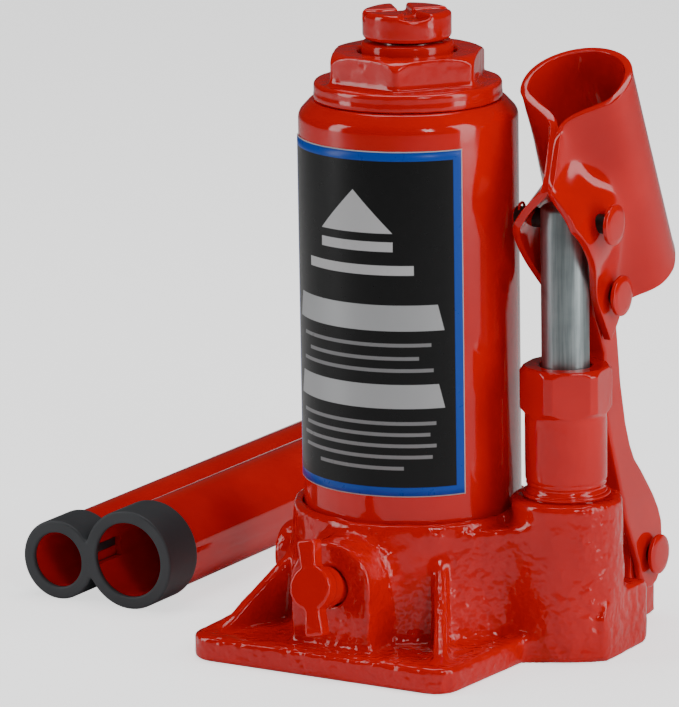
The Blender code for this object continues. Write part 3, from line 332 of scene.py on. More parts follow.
def skin(name, field, low, high, step, finish, texture=None):
    """The surface where a field of distances is zero. Each grid cell that it crosses gets one point, which
    slides down the field's gradient onto the surface, and each grid edge that it cuts gets one face."""
    low, high = np.asarray(low, float) - 1.5 * step, np.asarray(high, float) + 1.5 * step
    axes = [np.arange(a, b + step, step) for a, b in zip(low, high)]
    value = field(*np.meshgrid(*axes, indexing="ij", sparse=True))
    inside = np.broadcast_to(value, [len(axis) for axis in axes]) < 0
    count = np.zeros([len(axis) - 1 for axis in axes], np.int8)
    for turn in range(8):
        slices = tuple(slice(1, None) if (turn >> bit) & 1 else slice(None, -1) for bit in range(3))
        count += inside[slices]
    crossed = (count > 0) & (count < 8)
    number = np.full(count.shape, -1)
    number[crossed] = np.arange(crossed.sum())
    points = low + (np.argwhere(crossed) + 0.5) * step
    quads = []
    for along in range(3):
        first, second = (along + 1) % 3, (along + 2) % 3
        cut = [slice(1, -1)] * 3
        cut[along] = slice(None, -1)
        start = inside[tuple(cut)]
        cut[along] = slice(1, None)
        end = inside[tuple(cut)]
        spots = np.argwhere(start != end)
        spots[:, first] += 1
        spots[:, second] += 1
        ring = []
        for back_first, back_second in ((1, 1), (0, 1), (0, 0), (1, 0)):
            cell = spots.copy()
            cell[:, first] -= back_first
            cell[:, second] -= back_second
            ring.append(number[tuple(cell.T)])
        ring = np.stack(ring, axis=1)
        outward = start[start != end]
        quads.append(np.where(outward[:, None], ring, ring[:, ::-1]))
    quads = np.concatenate(quads)

    full = field if texture is None else (lambda x, y, z: field(x, y, z) + texture(x, y, z))

    def slope(where):
        reach = 0.04
        parts = []
        for bit in range(3):
            ahead, behind = where.copy(), where.copy()
            ahead[:, bit] += reach
            behind[:, bit] -= reach
            parts.append((full(*ahead.T) - full(*behind.T)) / (2 * reach))
        return np.stack(parts, axis=1)

    ends = np.concatenate([quads[:, [0, 1]], quads[:, [1, 2]], quads[:, [2, 3]], quads[:, [3, 0]]])
    ends = np.concatenate([ends, ends[:, ::-1]])
    share = np.bincount(ends[:, 0], minlength=len(points))[:, None]
    for round_number in range(4):
        if round_number:
            around = np.stack([np.bincount(ends[:, 0], points[ends[:, 1], bit], len(points))
                               for bit in range(3)], 1)
            points = 0.5 * points + 0.5 * around / share
        for _ in range(3):
            gradient = slope(points)
            move = full(*points.T)[:, None] * gradient / np.maximum((gradient ** 2).sum(1, keepdims=True), 0.05)
            length = np.linalg.norm(move, axis=1, keepdims=True)
            points = points - move * np.minimum(1, step * 0.8 / np.maximum(length, 1e-9))
    return show(name, points, quads.tolist(), finish)


def valve_axes(y, z):
    """Distance out along the sloping axis of the release valve, and height across it."""
    out = -(y - valve_face) * math.cos(valve_tilt) + (z - valve_z) * math.sin(valve_tilt)
    lift = (y - valve_face) * math.sin(valve_tilt) + (z - valve_z) * math.cos(valve_tilt)
    return out, lift


def casting(x, y, z):
    """The base as a blend of its plate, collar, column, bosses, ribs and lug, less its machined holes."""
    outline = corner(-plate_half + 6.5, -42.5, 3.5, 180) + corner(plate_half - 6.5, -42.5, 3.5, 270)
    outline += [(36.0, -13.5), (40.5, -8.4), (51.0, -2.6), (52.6, 1.6), (52.6, 16.6), (45.0, 24.0),
                (42.8, 30.0), (42.6, 39.2), (36.0, 43.0), (-plate_half + 3, 43.0)]
    flat = polygon(x, y, outline) - 3.0
    plate = slab(flat, between(z, 0, plate_thick), 1.5)
    plate = carve(plate, slab(flat + 6.4, 5.4 - z, 0.6), 2.2)
    round_tank = np.hypot(x, y)
    round_pump = np.hypot(x - column_x, y - column_y)
    collar = slab(round_tank - collar_radius - collar_flare * (collar_top - z),
                  between(z, casting_foot, collar_top), 1.1)
    column = slab(round_pump - column_radius - column_flare * (column_top - z),
                  between(z, casting_foot, column_top), 1.3)
    wall_line = [(8, -24.0), (22, -18.6), (33, -12.2), (42, -10.4), (42, 14), (20, 20)]
    wall = slab(polygon(x, y, wall_line),
                between(z, casting_foot, collar_top - 2.0 + 0.12 * (x - 30)), 1.0)
    pad_rise = between(z, 0.2, 16.2 - 0.5 * np.maximum(2 - y, 0))
    pad = slab(slab(between(y, -4.6, 18.2), pad_rise, 2.4), between(x, 40.0, base_right - 0.2), 0.7)
    arch = np.hypot(x - valve_x, np.maximum(z - valve_z, 0)) - boss_radius
    boss = slab(arch, between(y, valve_face, 0), 0.9)
    round_relief = np.hypot(y - relief_y, z - relief_z)
    relief = slab(round_relief - relief_radius, between(x, relief_face, 0), 1.2)
    body = blend(collar, column, 3.0)
    body = blend(body, wall, 2.4)
    body = blend(body, boss, 3.2)
    body = blend(body, relief, 2.4)
    for start, end, crest, foot, thick in (((20.0, -22.0), (31.8, -43.0), 25.2, 6.2, 1.55),
                                            ((-24.0, -18.0), (-33.0, -38.5), 22.5, 6.2, 1.7)):
        reach = np.array(end) - start
        length = np.hypot(*reach)
        along = ((x - start[0]) * reach[0] + (y - start[1]) * reach[1]) / length
        side = np.abs((x - start[0]) * reach[1] - (y - start[1]) * reach[0]) / length - thick
        crest_line = (z - crest + (crest - foot) * along / length) * 0.76
        rib = slab(slab(side, crest_line, 1.4), between(along, -12.0, length + 1.5), 1.0)
        body = blend(body, np.maximum(rib, casting_foot - z), 2.2)
    body = blend(body, plate, 2.6)
    body = blend(body, pad, 1.6)
    lug_flat = np.hypot(y - lug_y, np.maximum(z - lug_z, 0)) - lug_radius
    lug_width = between(x, column_x - lug_half, column_x + lug_half)
    lug = slab(lug_flat, lug_width, 0.8)
    root = slab(between(y, column_y, lug_y), between(z, casting_foot, 10.0), 1.0)
    root = slab(root, lug_width, 0.8)
    body = blend(body, np.maximum(lug, casting_foot - z), 0.6)
    body = blend(body, root, 0.6)
    body = carve(body, np.maximum(round_tank - tank_seat_radius, tank_seat_z - z), 0.5)
    body = carve(body, np.maximum(round_pump - pump_seat_radius, pump_seat_z - z), 0.5)
    out, lift = valve_axes(y, z)
    body = carve(body, np.maximum(np.hypot(x - valve_x, lift) - valve_hole, -22.0 - out), 0.5)
    body = carve(body, np.maximum(round_relief - relief_hole, x + 24.0), 0.5)
    pin_hole = slab(np.hypot(y - lug_y, z - lug_z) - lug_hole, between(x, column_x - 6, column_x + 6), 0.1)
    body = carve(body, pin_hole, 0.3)
    body = carve(body, base_right - 0.3 - x, 0.8)
    return np.maximum(body, 0.02 - z)


def sand(x, y, z):
    """Waves and lumps that the sand mould left, fading out on the underside."""
    rough = 0.16 * lumps(x, y, z, 7.0, 1) + 0.07 * lumps(x, y, z, 3.1, 2)
    return rough * np.clip(z / 2.0, 0, 1) * np.clip((collar_top + 4.0 - z) / 2.0, 0.3, 1)


base = skin("cast_base", casting, low, high, 0.72, cast_enamel, sand)
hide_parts("base_casting")
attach(base, "jack_body")


# ------------------------------------------------------------ tank, label and filler plug
# The oil tank is a drawn steel tube with a rounded shoulder, enamelled. A printed film wraps its front,
# and a soft plug closes the filling hole at the rear.

tube_enamel = enamel("tube_enamel", 0.000006, 0.0, 0.0)


def fillet(corners, steps=6):
    """A profile whose corners are arcs. A corner's third number is its radius."""
    points = []
    last = len(corners) - 1
    for index, spot in enumerate(corners):
        here = np.array(spot[:2], float)
        if len(spot) < 3 or index in (0, last):
            points.append(here)
            continue
        back = np.array(corners[index - 1][:2]) - here
        ahead = np.array(corners[index + 1][:2]) - here
        back, ahead = back / np.hypot(*back), ahead / np.hypot(*ahead)
        half = math.acos(np.clip(back @ ahead, -1, 1)) / 2
        middle = (back + ahead) / np.hypot(*(back + ahead))
        centre = here + middle * spot[2] / math.sin(half)
        start, end = (here + way * spot[2] / math.tan(half) - centre for way in (back, ahead))
        sweep = math.atan2(start[0] * end[1] - start[1] * end[0], start @ end)
        for turn in np.linspace(0, sweep, steps):
            c, s = math.cos(turn), math.sin(turn)
            points.append(centre + (c * start[0] - s * start[1], s * start[0] + c * start[1]))
    return points


def lathe(name, profile, finish, centre=(0, 0), segments=144, closed=False, along="z"):
    """A profile of (radius, height, rounding) corners, down its outer side, carried once round its axis."""
    profile = np.array(fillet(profile), float)
    pole = 1e-6
    if closed:
        profile = np.vstack([profile, profile[:1]])
    turn = np.linspace(0, 2 * np.pi, segments, endpoint=False)
    rows, points, total = [], [], 0
    for index, (radius, rise) in enumerate(profile):
        if closed and index == len(profile) - 1:
            rows.append(rows[0])
            continue
        if radius < pole:
            rows.append(np.full(segments, total))
            points.append(np.array([[0, 0, rise]]))
            total += 1
        else:
            rows.append(np.arange(total, total + segments))
            points.append(np.stack([radius * np.cos(turn), radius * np.sin(turn), np.full(segments, rise)], 1))
            total += segments
    points = np.concatenate(points)
    faces = []
    for upper, lower in zip(rows, rows[1:]):
        ring = np.stack([upper, lower, np.roll(lower, -1), np.roll(upper, -1)], axis=1)
        if upper[0] == upper[1]:
            ring = ring[:, :3]
        elif lower[0] == lower[1]:
            ring = ring[:, [0, 1, 3]]
        faces += ring.tolist()
    if along == "z":
        points = points + (centre[0], centre[1], 0)
    elif along == "y":
        points = np.stack([points[:, 0] + centre[0], points[:, 2], -points[:, 1] + centre[1]], axis=1)
    else:
        points = np.stack([points[:, 2], points[:, 1] + centre[0], -points[:, 0] + centre[1]], axis=1)
    piece = show(name, points, faces, finish)
    piece.data.set_sharp_from_angle(angle=math.radians(40))
    return piece


def dress(piece, node, body):
    """Puts a piece in the place of a CAD node."""
    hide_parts(node)
    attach(piece, body)
    return piece


def grid_faces(rows, columns):
    """The faces of a grid of points stored row by row."""
    numbers = np.arange(rows * columns).reshape(rows, columns)
    corners = [numbers[:-1, :-1], numbers[:-1, 1:], numbers[1:, 1:], numbers[1:, :-1]]
    return np.stack(corners, -1).reshape(-1, 4).tolist()


def bored(piece, *cutters):
    """The piece with exact holes cut by these cutters, which are then removed."""
    for cutter in cutters:
        hole = piece.modifiers.new(cutter.name, "BOOLEAN")
        hole.object = cutter
        hole.solver = "EXACT"
    bpy.context.view_layer.update()
    graph = bpy.context.evaluated_depsgraph_get()
    made = bpy.data.meshes.new_from_object(piece.evaluated_get(graph))
    piece.modifiers.clear()
    piece.data = made
    for cutter in cutters:
        bpy.data.objects.remove(cutter, do_unlink=True)
    made.shade_smooth()
    made.set_sharp_from_angle(angle=math.radians(40))
    return piece


low, high = span("reservoir_tube")
tank_radius = high[0]
tank_wall, tank_mouth, tank_top, tank_foot = 1.5, 21.2, high[2], low[2]
tank_inside = tank_radius - tank_wall
tank_profile = [(tank_mouth, tank_top), (tank_radius - 3.0, tank_top, 1.2), (tank_radius, tank_top - 3.2, 3.4),
                (tank_radius, tank_foot, 0.2), (tank_inside, tank_foot, 0.2), (tank_inside, tank_top - 3.8, 2.4),
                (tank_radius - 4.4, tank_top - tank_wall, 0.8), (tank_mouth, tank_top - tank_wall)]
tank = lathe("tank_tube", tank_profile, tube_enamel, segments=192, closed=True)
filler_low, filler_high = span("oil_filler_plug")
filler_z = (filler_low[2] + filler_high[2]) / 2
drill_radius, drill_out, drill_in = 4.3, 36, 18
drill_profile = [(0, drill_out), (drill_radius, drill_out), (drill_radius, drill_in), (0, drill_in)]
bored(tank, lathe("filler_drill", drill_profile, tube_enamel, (0, filler_z), 48, along="y"))
dress(tank, "reservoir_tube", "jack_body")



def mottled(name, tones, cloud, rough, grain=None, **constants):
    """A finish of two tones. cloud is the size and detail of the noise that mixes them; rough is the least
    roughness, its range, and its noise's size and detail; grain is a fine bump's size and depth."""
    finish = Finish(name, **constants)
    finish.colour(finish.mix(finish.noise(*cloud), *tones))
    finish.rough(rough[0] + rough[1] * finish.noise(*rough[2:]))
    if grain:
        finish.normal(finish.bump(finish.noise(grain[0], 3), grain[1]))
    return finish


soft_rubber = mottled("soft_rubber", ((0.012, 0.012, 0.012), (0.030, 0.029, 0.028)), (0.004, 4),
                      (0.55, 0.25, 0.002, 3), (0.0007, 0.00002), Specular_IOR_Level=0.35)
seat, cap = filler_low[1], filler_high[1]
plug_profile = [(0, cap), (4.6, cap - 0.1, 1.4), (6.2, cap - 1.0, 0.8), (6.2, cap - 2.0, 0.3),
                (4.0, cap - 2.0, 0.3), (4.0, seat + 1.2, 0.4), (2.8, seat, 0.4), (0, seat)]
dress(lathe("filler_stopper", plug_profile, soft_rubber, (0, filler_z), 64, along="y"),
      "oil_filler_plug", "filler_plug")

label_low, label_high = span("rating_label")
label_half = math.asin(label_high[0] / (tank_radius + 0.3))
film = Finish("label_print", Specular_IOR_Level=0.3)
uv = film.make("UVMap", {"uv_map": "film"})
label_u = film.make("SeparateXYZ", {}, {0: uv}, output=0)
label_v = film.make("SeparateXYZ", {}, {0: uv}, output=1)
half_width = label_half * tank_radius
tall = label_high[2] - label_low[2]
inner = (half_width - abs(label_u)).least(label_v.least(tall - label_v))


def band(centre, thick, reach, slant=0.0):
    """A plain printed band: 1 inside its box in label millimetres, with ends that may slant."""
    up = film.step(abs(label_v - centre), thick / 2 + 0.08, thick / 2 - 0.08)
    side = abs(label_u) + slant * (label_v - centre)
    return up * film.step(side, reach + 0.08, reach - 0.08)


blue = film.step(inner, 2.45, 2.30) * film.step(inner, 0.22, 0.34)
print_tone = film.mix(film.noise(0.003, 4), (0.0022, 0.0022, 0.0024), (0.0045, 0.0045, 0.0048))
printed = film.mix(blue, print_tone, (0.004, 0.075, 0.480))
silver = band(44.6, 6.4, 21.5, 0.25).most(band(25.1, 6.0, 21.5, 0.25))
printed = film.mix(silver, printed, (0.52, 0.53, 0.54))
rules = 0.0
rule_thick = 0.9
for centre, reach in ((37.9, 19.0), (34.6, 16.0), (31.6, 19.5), (18.4, 20.0), (15.6, 18.5), (12.8, 20.0),
                      (10.0, 19.0), (7.2, 12.0)):
    rules = band(centre, rule_thick, reach).most(rules)
printed = film.mix(rules * 0.7, printed, (0.38, 0.38, 0.39))
arrow_side = abs(label_u) - (76.0 - label_v) * 0.95
arrow = film.step(arrow_side, 0.1, -0.1) * film.step(label_v, 65.4, 65.6)
arrow = arrow.most(band(62.2, 2.4, 10.0)).most(band(56.4, 2.4, 15.0))
printed = film.mix(arrow, printed, (0.62, 0.62, 0.63))
edge_line = film.step(inner, 0.30, 0.18)
film.colour(film.mix(edge_line, printed, (0.66, 0.66, 0.68)))
film.rough(0.24 + 0.10 * film.noise(0.002, 3) + 0.12 * silver)
film.metal(0.35 * silver)
film.normal(film.bump(film.noise(0.0016, 3), 0.000006))
around = np.linspace(-label_half, label_half, 97)
rise = np.linspace(label_low[2], label_high[2], 41)
angle, tall_grid = np.meshgrid(around, rise)
film_radius = tank_radius + 0.32
points = np.stack([film_radius * np.sin(angle), -film_radius * np.cos(angle), tall_grid], -1).reshape(-1, 3)
label = show("front_label", points, grid_faces(*angle.shape), film)
layer = label.data.uv_layers.new(name="film")
loops = np.empty(len(label.data.loops), int)
label.data.loops.foreach_get("vertex_index", loops)
flat_map = np.stack([angle.ravel() * tank_radius, tall_grid.ravel() - label_low[2]], 1)
layer.data.foreach_set("uv", flat_map[loops].ravel().astype(np.float32))
thick = label.modifiers.new("film", "SOLIDIFY")
thick.thickness = 0.0002
thick.offset = -1
dress(label, "rating_label", "jack_body")


# ------------------------------------------------------------ top nut, ram and saddle
# The top nut is a forged hexagon with a round flange. The ram slides in it, and the ram's screw carries
# a grooved saddle. All of them were sprayed together, so the top is red as well.

flange_z = span("tank_top_gasket")[1][2] + 0.15
hex_z = flange_z + 3.6
nut_top = span("top_nut")[1][2]
nut_flats, nut_turn = 35.4, math.radians(21.7)
flange_radius, skirt_radius = 23.05, 20.6
ram_radius = span("ram")[1][0]


def hexagon(x, y, across_flats, turned_by, corner_radius):
    """Distance to a regular hexagon with rounded corners and a flat that faces the given angle."""
    reach = (across_flats / 2 - corner_radius) / math.cos(math.pi / 6)
    corners = [(reach * math.cos(turned_by + math.pi / 6 + index * math.pi / 3),
                reach * math.sin(turned_by + math.pi / 6 + index * math.pi / 3)) for index in range(6)]
    return polygon(x, y, corners) - corner_radius


def nut(x, y, z):
    """A hexagonal prism with a chamfering dome, blended with a round flange and its lip, joined to a round
    skirt, less the ram's bore and a wider room under it."""
    radius = np.hypot(x, y)
    six = np.maximum(hexagon(x, y, nut_flats, nut_turn, 1.8), between(z, hex_z - 2, nut_top))
    six = np.maximum(six, slab(radius - 20.4, z - nut_top, 3.4))
    flange = slab(radius - flange_radius, between(z, flange_z + 0.1, hex_z), 0.9)
    lip = slab(np.abs(radius - 22.7) - 0.45, between(z, flange_z - 0.75, flange_z + 0.7), 0.25)
    skirt = slab(radius - skirt_radius, between(z, flange_z - 6, flange_z + 1), 0.3)
    body = blend(blend(flange, lip, 0.5), six, 1.6)
    body = np.minimum(body, skirt)
    body = carve(body, slab(radius - ram_radius - 0.9, between(z, hex_z + 1.2, nut_top + 6), 0.2), 0.9)
    return carve(body, slab(radius - ram_radius - 3.1, between(z, flange_z - 9, hex_z + 3.4), 0.2), 0.2)


def forged(x, y, z):
    """Shallow waves of a forging under paint."""
    return 0.06 * lumps(x, y, z, 4.0, 5) + 0.02 * lumps(x, y, z, 1.6, 6)


forged_enamel = enamel("forged_enamel", 0.00003, 0.00035, 0.5)
nut_room = 23.3
dress(skin("hex_top_nut", nut, (-nut_room, -nut_room, flange_z - 6), (nut_room, nut_room, nut_top), 0.40,
           forged_enamel, forged), "top_nut", "jack_body")

saddle_low, saddle_high = span("saddle")
groove_turn = math.radians(41)


def grooved(x, y, z):
    """A round disc less two crossed grooves, one of which widens and shallows towards its end, and less the
    screw's seat under it."""
    body = slab(np.hypot(x, y) - saddle_high[0] + 0.1,
                between(z, saddle_low[2] + 0.15, saddle_high[2] - 0.1), 1.2)
    for turn, lobe in ((groove_turn, 0.0), (groove_turn + math.pi / 2, 1.0)):
        side = np.abs(-x * math.sin(turn) + y * math.cos(turn))
        along = np.clip((-x * math.cos(turn) - y * math.sin(turn) - 5.5) / 5, 0, 1) * lobe
        depth = 2.1 - 0.55 * along - 1.1 * along * (side / 4.4) ** 2
        body = carve(body, slab(side - 1.75 - 2.6 * along, saddle_high[2] - depth - z, 0.7), 0.8)
    return carve(body, np.maximum(np.hypot(x, y) - 7.1, z - saddle_low[2] - 3.3), 0.2)


dress(skin("grooved_saddle", grooved, saddle_low, saddle_high, 0.26, forged_enamel, forged),
      "saddle", "extension_screw")

polished = Finish("polished_steel", Metallic=1.0)
polished.colour(polished.mix(polished.noise(0.008, 3), (0.50, 0.50, 0.51), (0.60, 0.60, 0.61)))
polished.rough(0.20 + 0.16 * polished.noise(0.0006, 4, spot=polished.place((1, 1, 0.04))))
polished.normal(polished.bump(polished.noise(0.0004, 2, spot=polished.place((0.2, 0.2, 1))), 0.000003))

ram_foot, ram_top = (end[2] for end in span("ram"))
ram_finish = enamel("ram_top_enamel", 0.000006, 0.0, 0.0)
painted_from = 0.001 * (nut_top - 0.5)
paint_line = ram_finish.step(ram_finish.axis(2), painted_from - 0.0004, painted_from)
ram_bare = ram_finish.mix(ram_finish.noise(0.008, 3), (0.50, 0.50, 0.51), (0.60, 0.60, 0.61))
ram_finish.colour(ram_finish.mix(paint_line, ram_bare, (0.70, 0.006, 0.004)))
ram_finish.metal(1 - paint_line)
ram_finish.shader.inputs["Coat Weight"].default_value = 0.0
ring_groove, screw_bore = ram_radius - 1.4, 7.3
ram_profile = [(screw_bore, ram_top), (ram_radius, ram_top, 0.9), (ram_radius, ram_foot + 10),
               (ring_groove, ram_foot + 10), (ring_groove, ram_foot + 6), (ram_radius, ram_foot + 6),
               (ram_radius, ram_foot + 4.5), (ring_groove, ram_foot + 4.5), (ring_groove, ram_foot),
               (0, ram_foot), (0, ram_foot + 8), (7.8, ram_foot + 8), (7.8, ram_top - 12),
               (screw_bore, ram_top - 12)]
dress(lathe("ram_bar", ram_profile, ram_finish, closed=True), "ram", "ram")

screw_low, screw_high = span("extension_screw")
screw_radius = screw_high[0]
thread_pitch = 3.0


def tube_faces(rows, columns):
    """The faces of rings of points stored ring by ring, with a flat face at either end."""
    numbers = np.arange(rows * columns).reshape(rows, columns)
    ahead = np.roll(numbers, -1, axis=1)
    faces = np.stack([numbers[:-1], ahead[:-1], ahead[1:], numbers[1:]], -1).reshape(-1, 4).tolist()
    return faces + [numbers[0][::-1].tolist(), numbers[-1].tolist()]


def threaded_bar(name, radius, low_z, high_z, pitch, depth, finish):
    """A bar with a rounded thread: the radius dips once each pitch along a helix, and fades to plain ends."""
    turn = np.linspace(0, 2 * np.pi, 96, endpoint=False)
    rise = np.linspace(low_z, high_z, int((high_z - low_z) / pitch * 12))
    angle, tall_grid = np.meshgrid(turn, rise)
    wave = 0.5 - 0.5 * np.cos(2 * np.pi * (tall_grid - low_z) / pitch - angle)
    fade = np.clip((tall_grid - low_z) / 2, 0, 1) * np.clip((high_z - 3 - tall_grid) / 2, 0, 1)
    around = radius - depth * fade * wave ** 1.6
    points = np.stack([around * np.cos(angle), around * np.sin(angle), tall_grid], -1).reshape(-1, 3)
    piece = show(name, points, tube_faces(*angle.shape), finish)
    piece.data.set_sharp_from_angle(angle=math.radians(50))
    return piece


thread_depth = 0.9
dress(threaded_bar("threaded_extension", screw_radius, screw_low[2], screw_high[2], thread_pitch,
                   thread_depth, polished), "extension_screw", "extension_screw")


# ------------------------------------------------------------ pump
# The pump cylinder screws into the column: a painted hexagon that turns down to a round body with rings
# at its foot. The plunger in it is zinc-plated bar.

pump_top = span("pump_cylinder")[1][2]
plunger_low, plunger_high = span("pump_plunger")
plunger_radius = (plunger_high[0] - plunger_low[0]) / 2
seal_low, seal_high = span("plunger_cup_seal")
pump_flats, pump_turn, barrel_radius = 20.6, math.radians(6), 10.1
pump_bore = max(plunger_radius, (seal_high[0] - seal_low[0]) / 2) + 0.3
hex_foot = 60.5


def pump(x, y, z):
    """A hexagonal prism cut by a cylinder and by a cone at each end, blended with a round body, less two
    rings turned in its foot and the bore."""
    u, v = x - column_x, y - column_y
    radius = np.hypot(u, v)
    six = np.maximum(hexagon(u, v, pump_flats, pump_turn, 0.7), radius - 11.3)
    six = slab(six, between(z, hex_foot - 1.5, pump_top), 0.6)
    six = np.maximum(six, (radius - 10.3 + (z - pump_top) * 0.8) * 0.78)
    six = np.maximum(six, (radius - 10.2 - (z - hex_foot) * 0.9) * 0.74)
    tube = slab(radius - barrel_radius, between(z, column_top - 3, hex_foot + 6), 0.4)
    body = blend(six, tube, 0.5)
    for ring_z, depth in ((43.4, 0.35), (42.1, 0.6)):
        body = carve(body, np.hypot(radius - 10.5, z - ring_z) - 0.3 - depth, 0.3)
    return carve(body, radius - pump_bore, 0.5)


def pump_waves(x, y, z):
    """Waves of the bar under paint: two sizes of smooth noise."""
    return 0.05 * lumps(x, y, z, 4.5, 8) + 0.02 * lumps(x, y, z, 1.8, 9)


dress(skin("pump_barrel", pump, (column_x - 11.6, column_y - 11.6, column_top - 3),
           (column_x + 11.6, column_y + 11.6, pump_top), 0.30, forged_enamel, pump_waves),
      "pump_cylinder", "jack_body")
washer_foot, washer_top = (end[2] for end in span("pump_foot_washer"))
washer_profile = [(8.6, washer_top), (10.9, washer_top, 0.4), (10.9, washer_foot, 0.4), (8.6, washer_foot)]
dress(lathe("pump_washer", washer_profile, forged_enamel, (column_x, column_y), closed=True),
      "pump_foot_washer", "jack_body")

zinc = Finish("zinc_plate", Metallic=0.9)
streak = zinc.noise(0.0009, 4, 0.6, spot=zinc.place((1, 1, 0.035)))
cloud = zinc.noise(0.006, 4)
worn = zinc.step(streak * 0.7 + cloud * 0.3, 0.30, 0.70)
zinc.colour(zinc.mix(worn, (0.22, 0.26, 0.265), (0.42, 0.47, 0.475)))
zinc.rough(0.30 + 0.22 * cloud)
zinc.normal(zinc.bump(streak, 0.00001))
plunger_foot, plunger_top, cup_groove = plunger_low[2], plunger_high[2], plunger_radius - 1.6
plunger_profile = [(0, plunger_top), (plunger_radius, plunger_top, 1.3), (plunger_radius, plunger_foot + 4.8),
                   (cup_groove, plunger_foot + 4.8), (cup_groove, plunger_foot + 1.4),
                   (plunger_radius, plunger_foot + 1.4), (plunger_radius, plunger_foot), (0, plunger_foot)]
dress(lathe("plunger_bar", plunger_profile, zinc, (column_x, column_y), 96), "pump_plunger", "plunger")


# ------------------------------------------------------------ handle socket, pins and link
# The socket is one steel sheet folded to a tube, pinched shut along its front and opened to two cheeks
# below. Headed pins through the cheeks hold the plunger and the link.

sheet_enamel = enamel("sheet_enamel", 0.000007, 0.00008, 0.25)
mouth_y, mouth_z, lean = column_y + 5.8, 141.6, math.radians(65.5)
sheet_thick, fold_radius = 1.9, 13.2
round_to, flat_from = -4.0, -14.0
front_line = np.array(((-61.1, -22.6), (-47.4, -24.3), (-34.7, -26.2), (-24.2, -28.4), (-18.6, -25.2),
                       (-8.2, -16.0)))
foot_line = np.array(((-22.6, -61.1), (-18.0, -59.6), (-13.0, -57.0), (-7.0, -56.8), (2.0, -55.8), (8.0, -53.0),
                      (13.2, -50.0)))


def seam_gap(depth):
    """Half the width between the sheet's front edges: shut at the top, then eased to its widest at the
    plunger, then eased back to the link's width."""
    shut, opened, low_gap = sheet_thick / 2 - 0.36, 8.3 + sheet_thick / 2, 5.0 + sheet_thick / 2
    rise = 1 - (1 - np.clip((-depth - 17.2) / 13.0, 0, 1)) ** 2.2
    fall = np.clip((-depth - 33.0) / 17.0, 0, 1)
    fall = fall * fall * (3 - 2 * fall)
    return shut + (opened - shut) * rise + (low_gap - opened) * fall


def fold(share, depth):
    """The sheet's section at a depth: an arc at the rear, eased to flat cheeks that run to the front edge,
    and read at this share of its own length."""
    edge_x = seam_gap(depth)[..., None]
    edge_n = np.interp(depth, front_line[:, 0], front_line[:, 1])[..., None]
    swing = np.linspace(0, math.acos(round_to / fold_radius), 40) + 0 * edge_x
    ahead = round_to + (edge_n - round_to) * np.linspace(0, 1, 60)[1:]
    ease = np.clip((ahead - flat_from) / (round_to - flat_from), 0, 1)
    ease = ease * ease * (3 - 2 * ease)
    circle = np.sqrt(np.maximum(fold_radius ** 2 - ahead ** 2, 0))
    flank = edge_x + (np.maximum(circle, edge_x) - edge_x) * ease
    wide = np.concatenate([fold_radius * np.sin(swing), flank], -1)
    deep = np.concatenate([fold_radius * np.cos(swing), ahead], -1)
    length = np.cumsum(np.hypot(np.diff(wide, axis=-1), np.diff(deep, axis=-1)), -1)
    length = np.concatenate([0 * edge_x, length], -1)
    aim = share[..., None] * length[..., -1:]
    after = np.clip((length < aim).sum(-1, keepdims=True), 1, length.shape[-1] - 1)
    start, end = (np.take_along_axis(length, index, -1) for index in (after - 1, after))
    part = (aim - start) / (end - start)
    found = []
    for line in (wide, deep):
        start, end = (np.take_along_axis(line, index, -1) for index in (after - 1, after))
        found.append((start + (end - start) * part)[..., 0])
    return found


columns, rows = 121, 81
u = np.linspace(-1, 1, columns)[None, :] * np.ones((rows, 1))
v = np.linspace(0, 1, rows)[:, None] * np.ones((1, columns))
depth = -58.0 * v
for _ in range(14):
    wide, deep = fold(np.abs(u), depth)
    spread = np.clip((fold_radius - deep) / (fold_radius + 16.0), 0, 1)
    top = -8.2 * spread ** 3.5
    depth = 0.5 * depth + 0.5 * (top + (np.interp(deep, foot_line[:, 0], foot_line[:, 1]) - top) * v)
wide, deep = fold(np.abs(u), depth)
wide = wide * np.sign(u)
for _ in range(14):
    for grid in (wide, deep, depth):
        mean = (grid[:-2, 1:-1] + grid[2:, 1:-1] + grid[1:-1, :-2] + grid[1:-1, 2:]) / 4
        grid[1:-1, 1:-1] += 0.7 * (mean - grid[1:-1, 1:-1])
points = np.stack([column_x + wide, mouth_y - depth * math.cos(lean) + deep * math.sin(lean),
                   mouth_z + depth * math.sin(lean) + deep * math.cos(lean)], -1).reshape(-1, 3)
socket = show("folded_socket", points, grid_faces(rows, columns), sheet_enamel)
wall = socket.modifiers.new("sheet", "SOLIDIFY")
wall.thickness = sheet_thick * 0.001
wall.offset = 0
wall.use_even_offset = True
edge = socket.modifiers.new("edge", "BEVEL")
edge.width = 0.00032
edge.segments = 2
edge.limit_method = "ANGLE"
edge.angle_limit = math.radians(60)
edge.use_clamp_overlap = True
dress(socket, "handle_socket", "handle_socket")

# Near-black steel for the pin shanks: its dark colour is painted shade of the narrow gap between each pin's head and
# the cheek.
gap_shade_steel = mottled("gap_shade_steel", ((0.018, 0.017, 0.017), (0.06, 0.055, 0.05)), (0.002, 3),
                     (0.35, 0.2, 0.001, 3), (0.0006, 0.00001), Metallic=0.7)


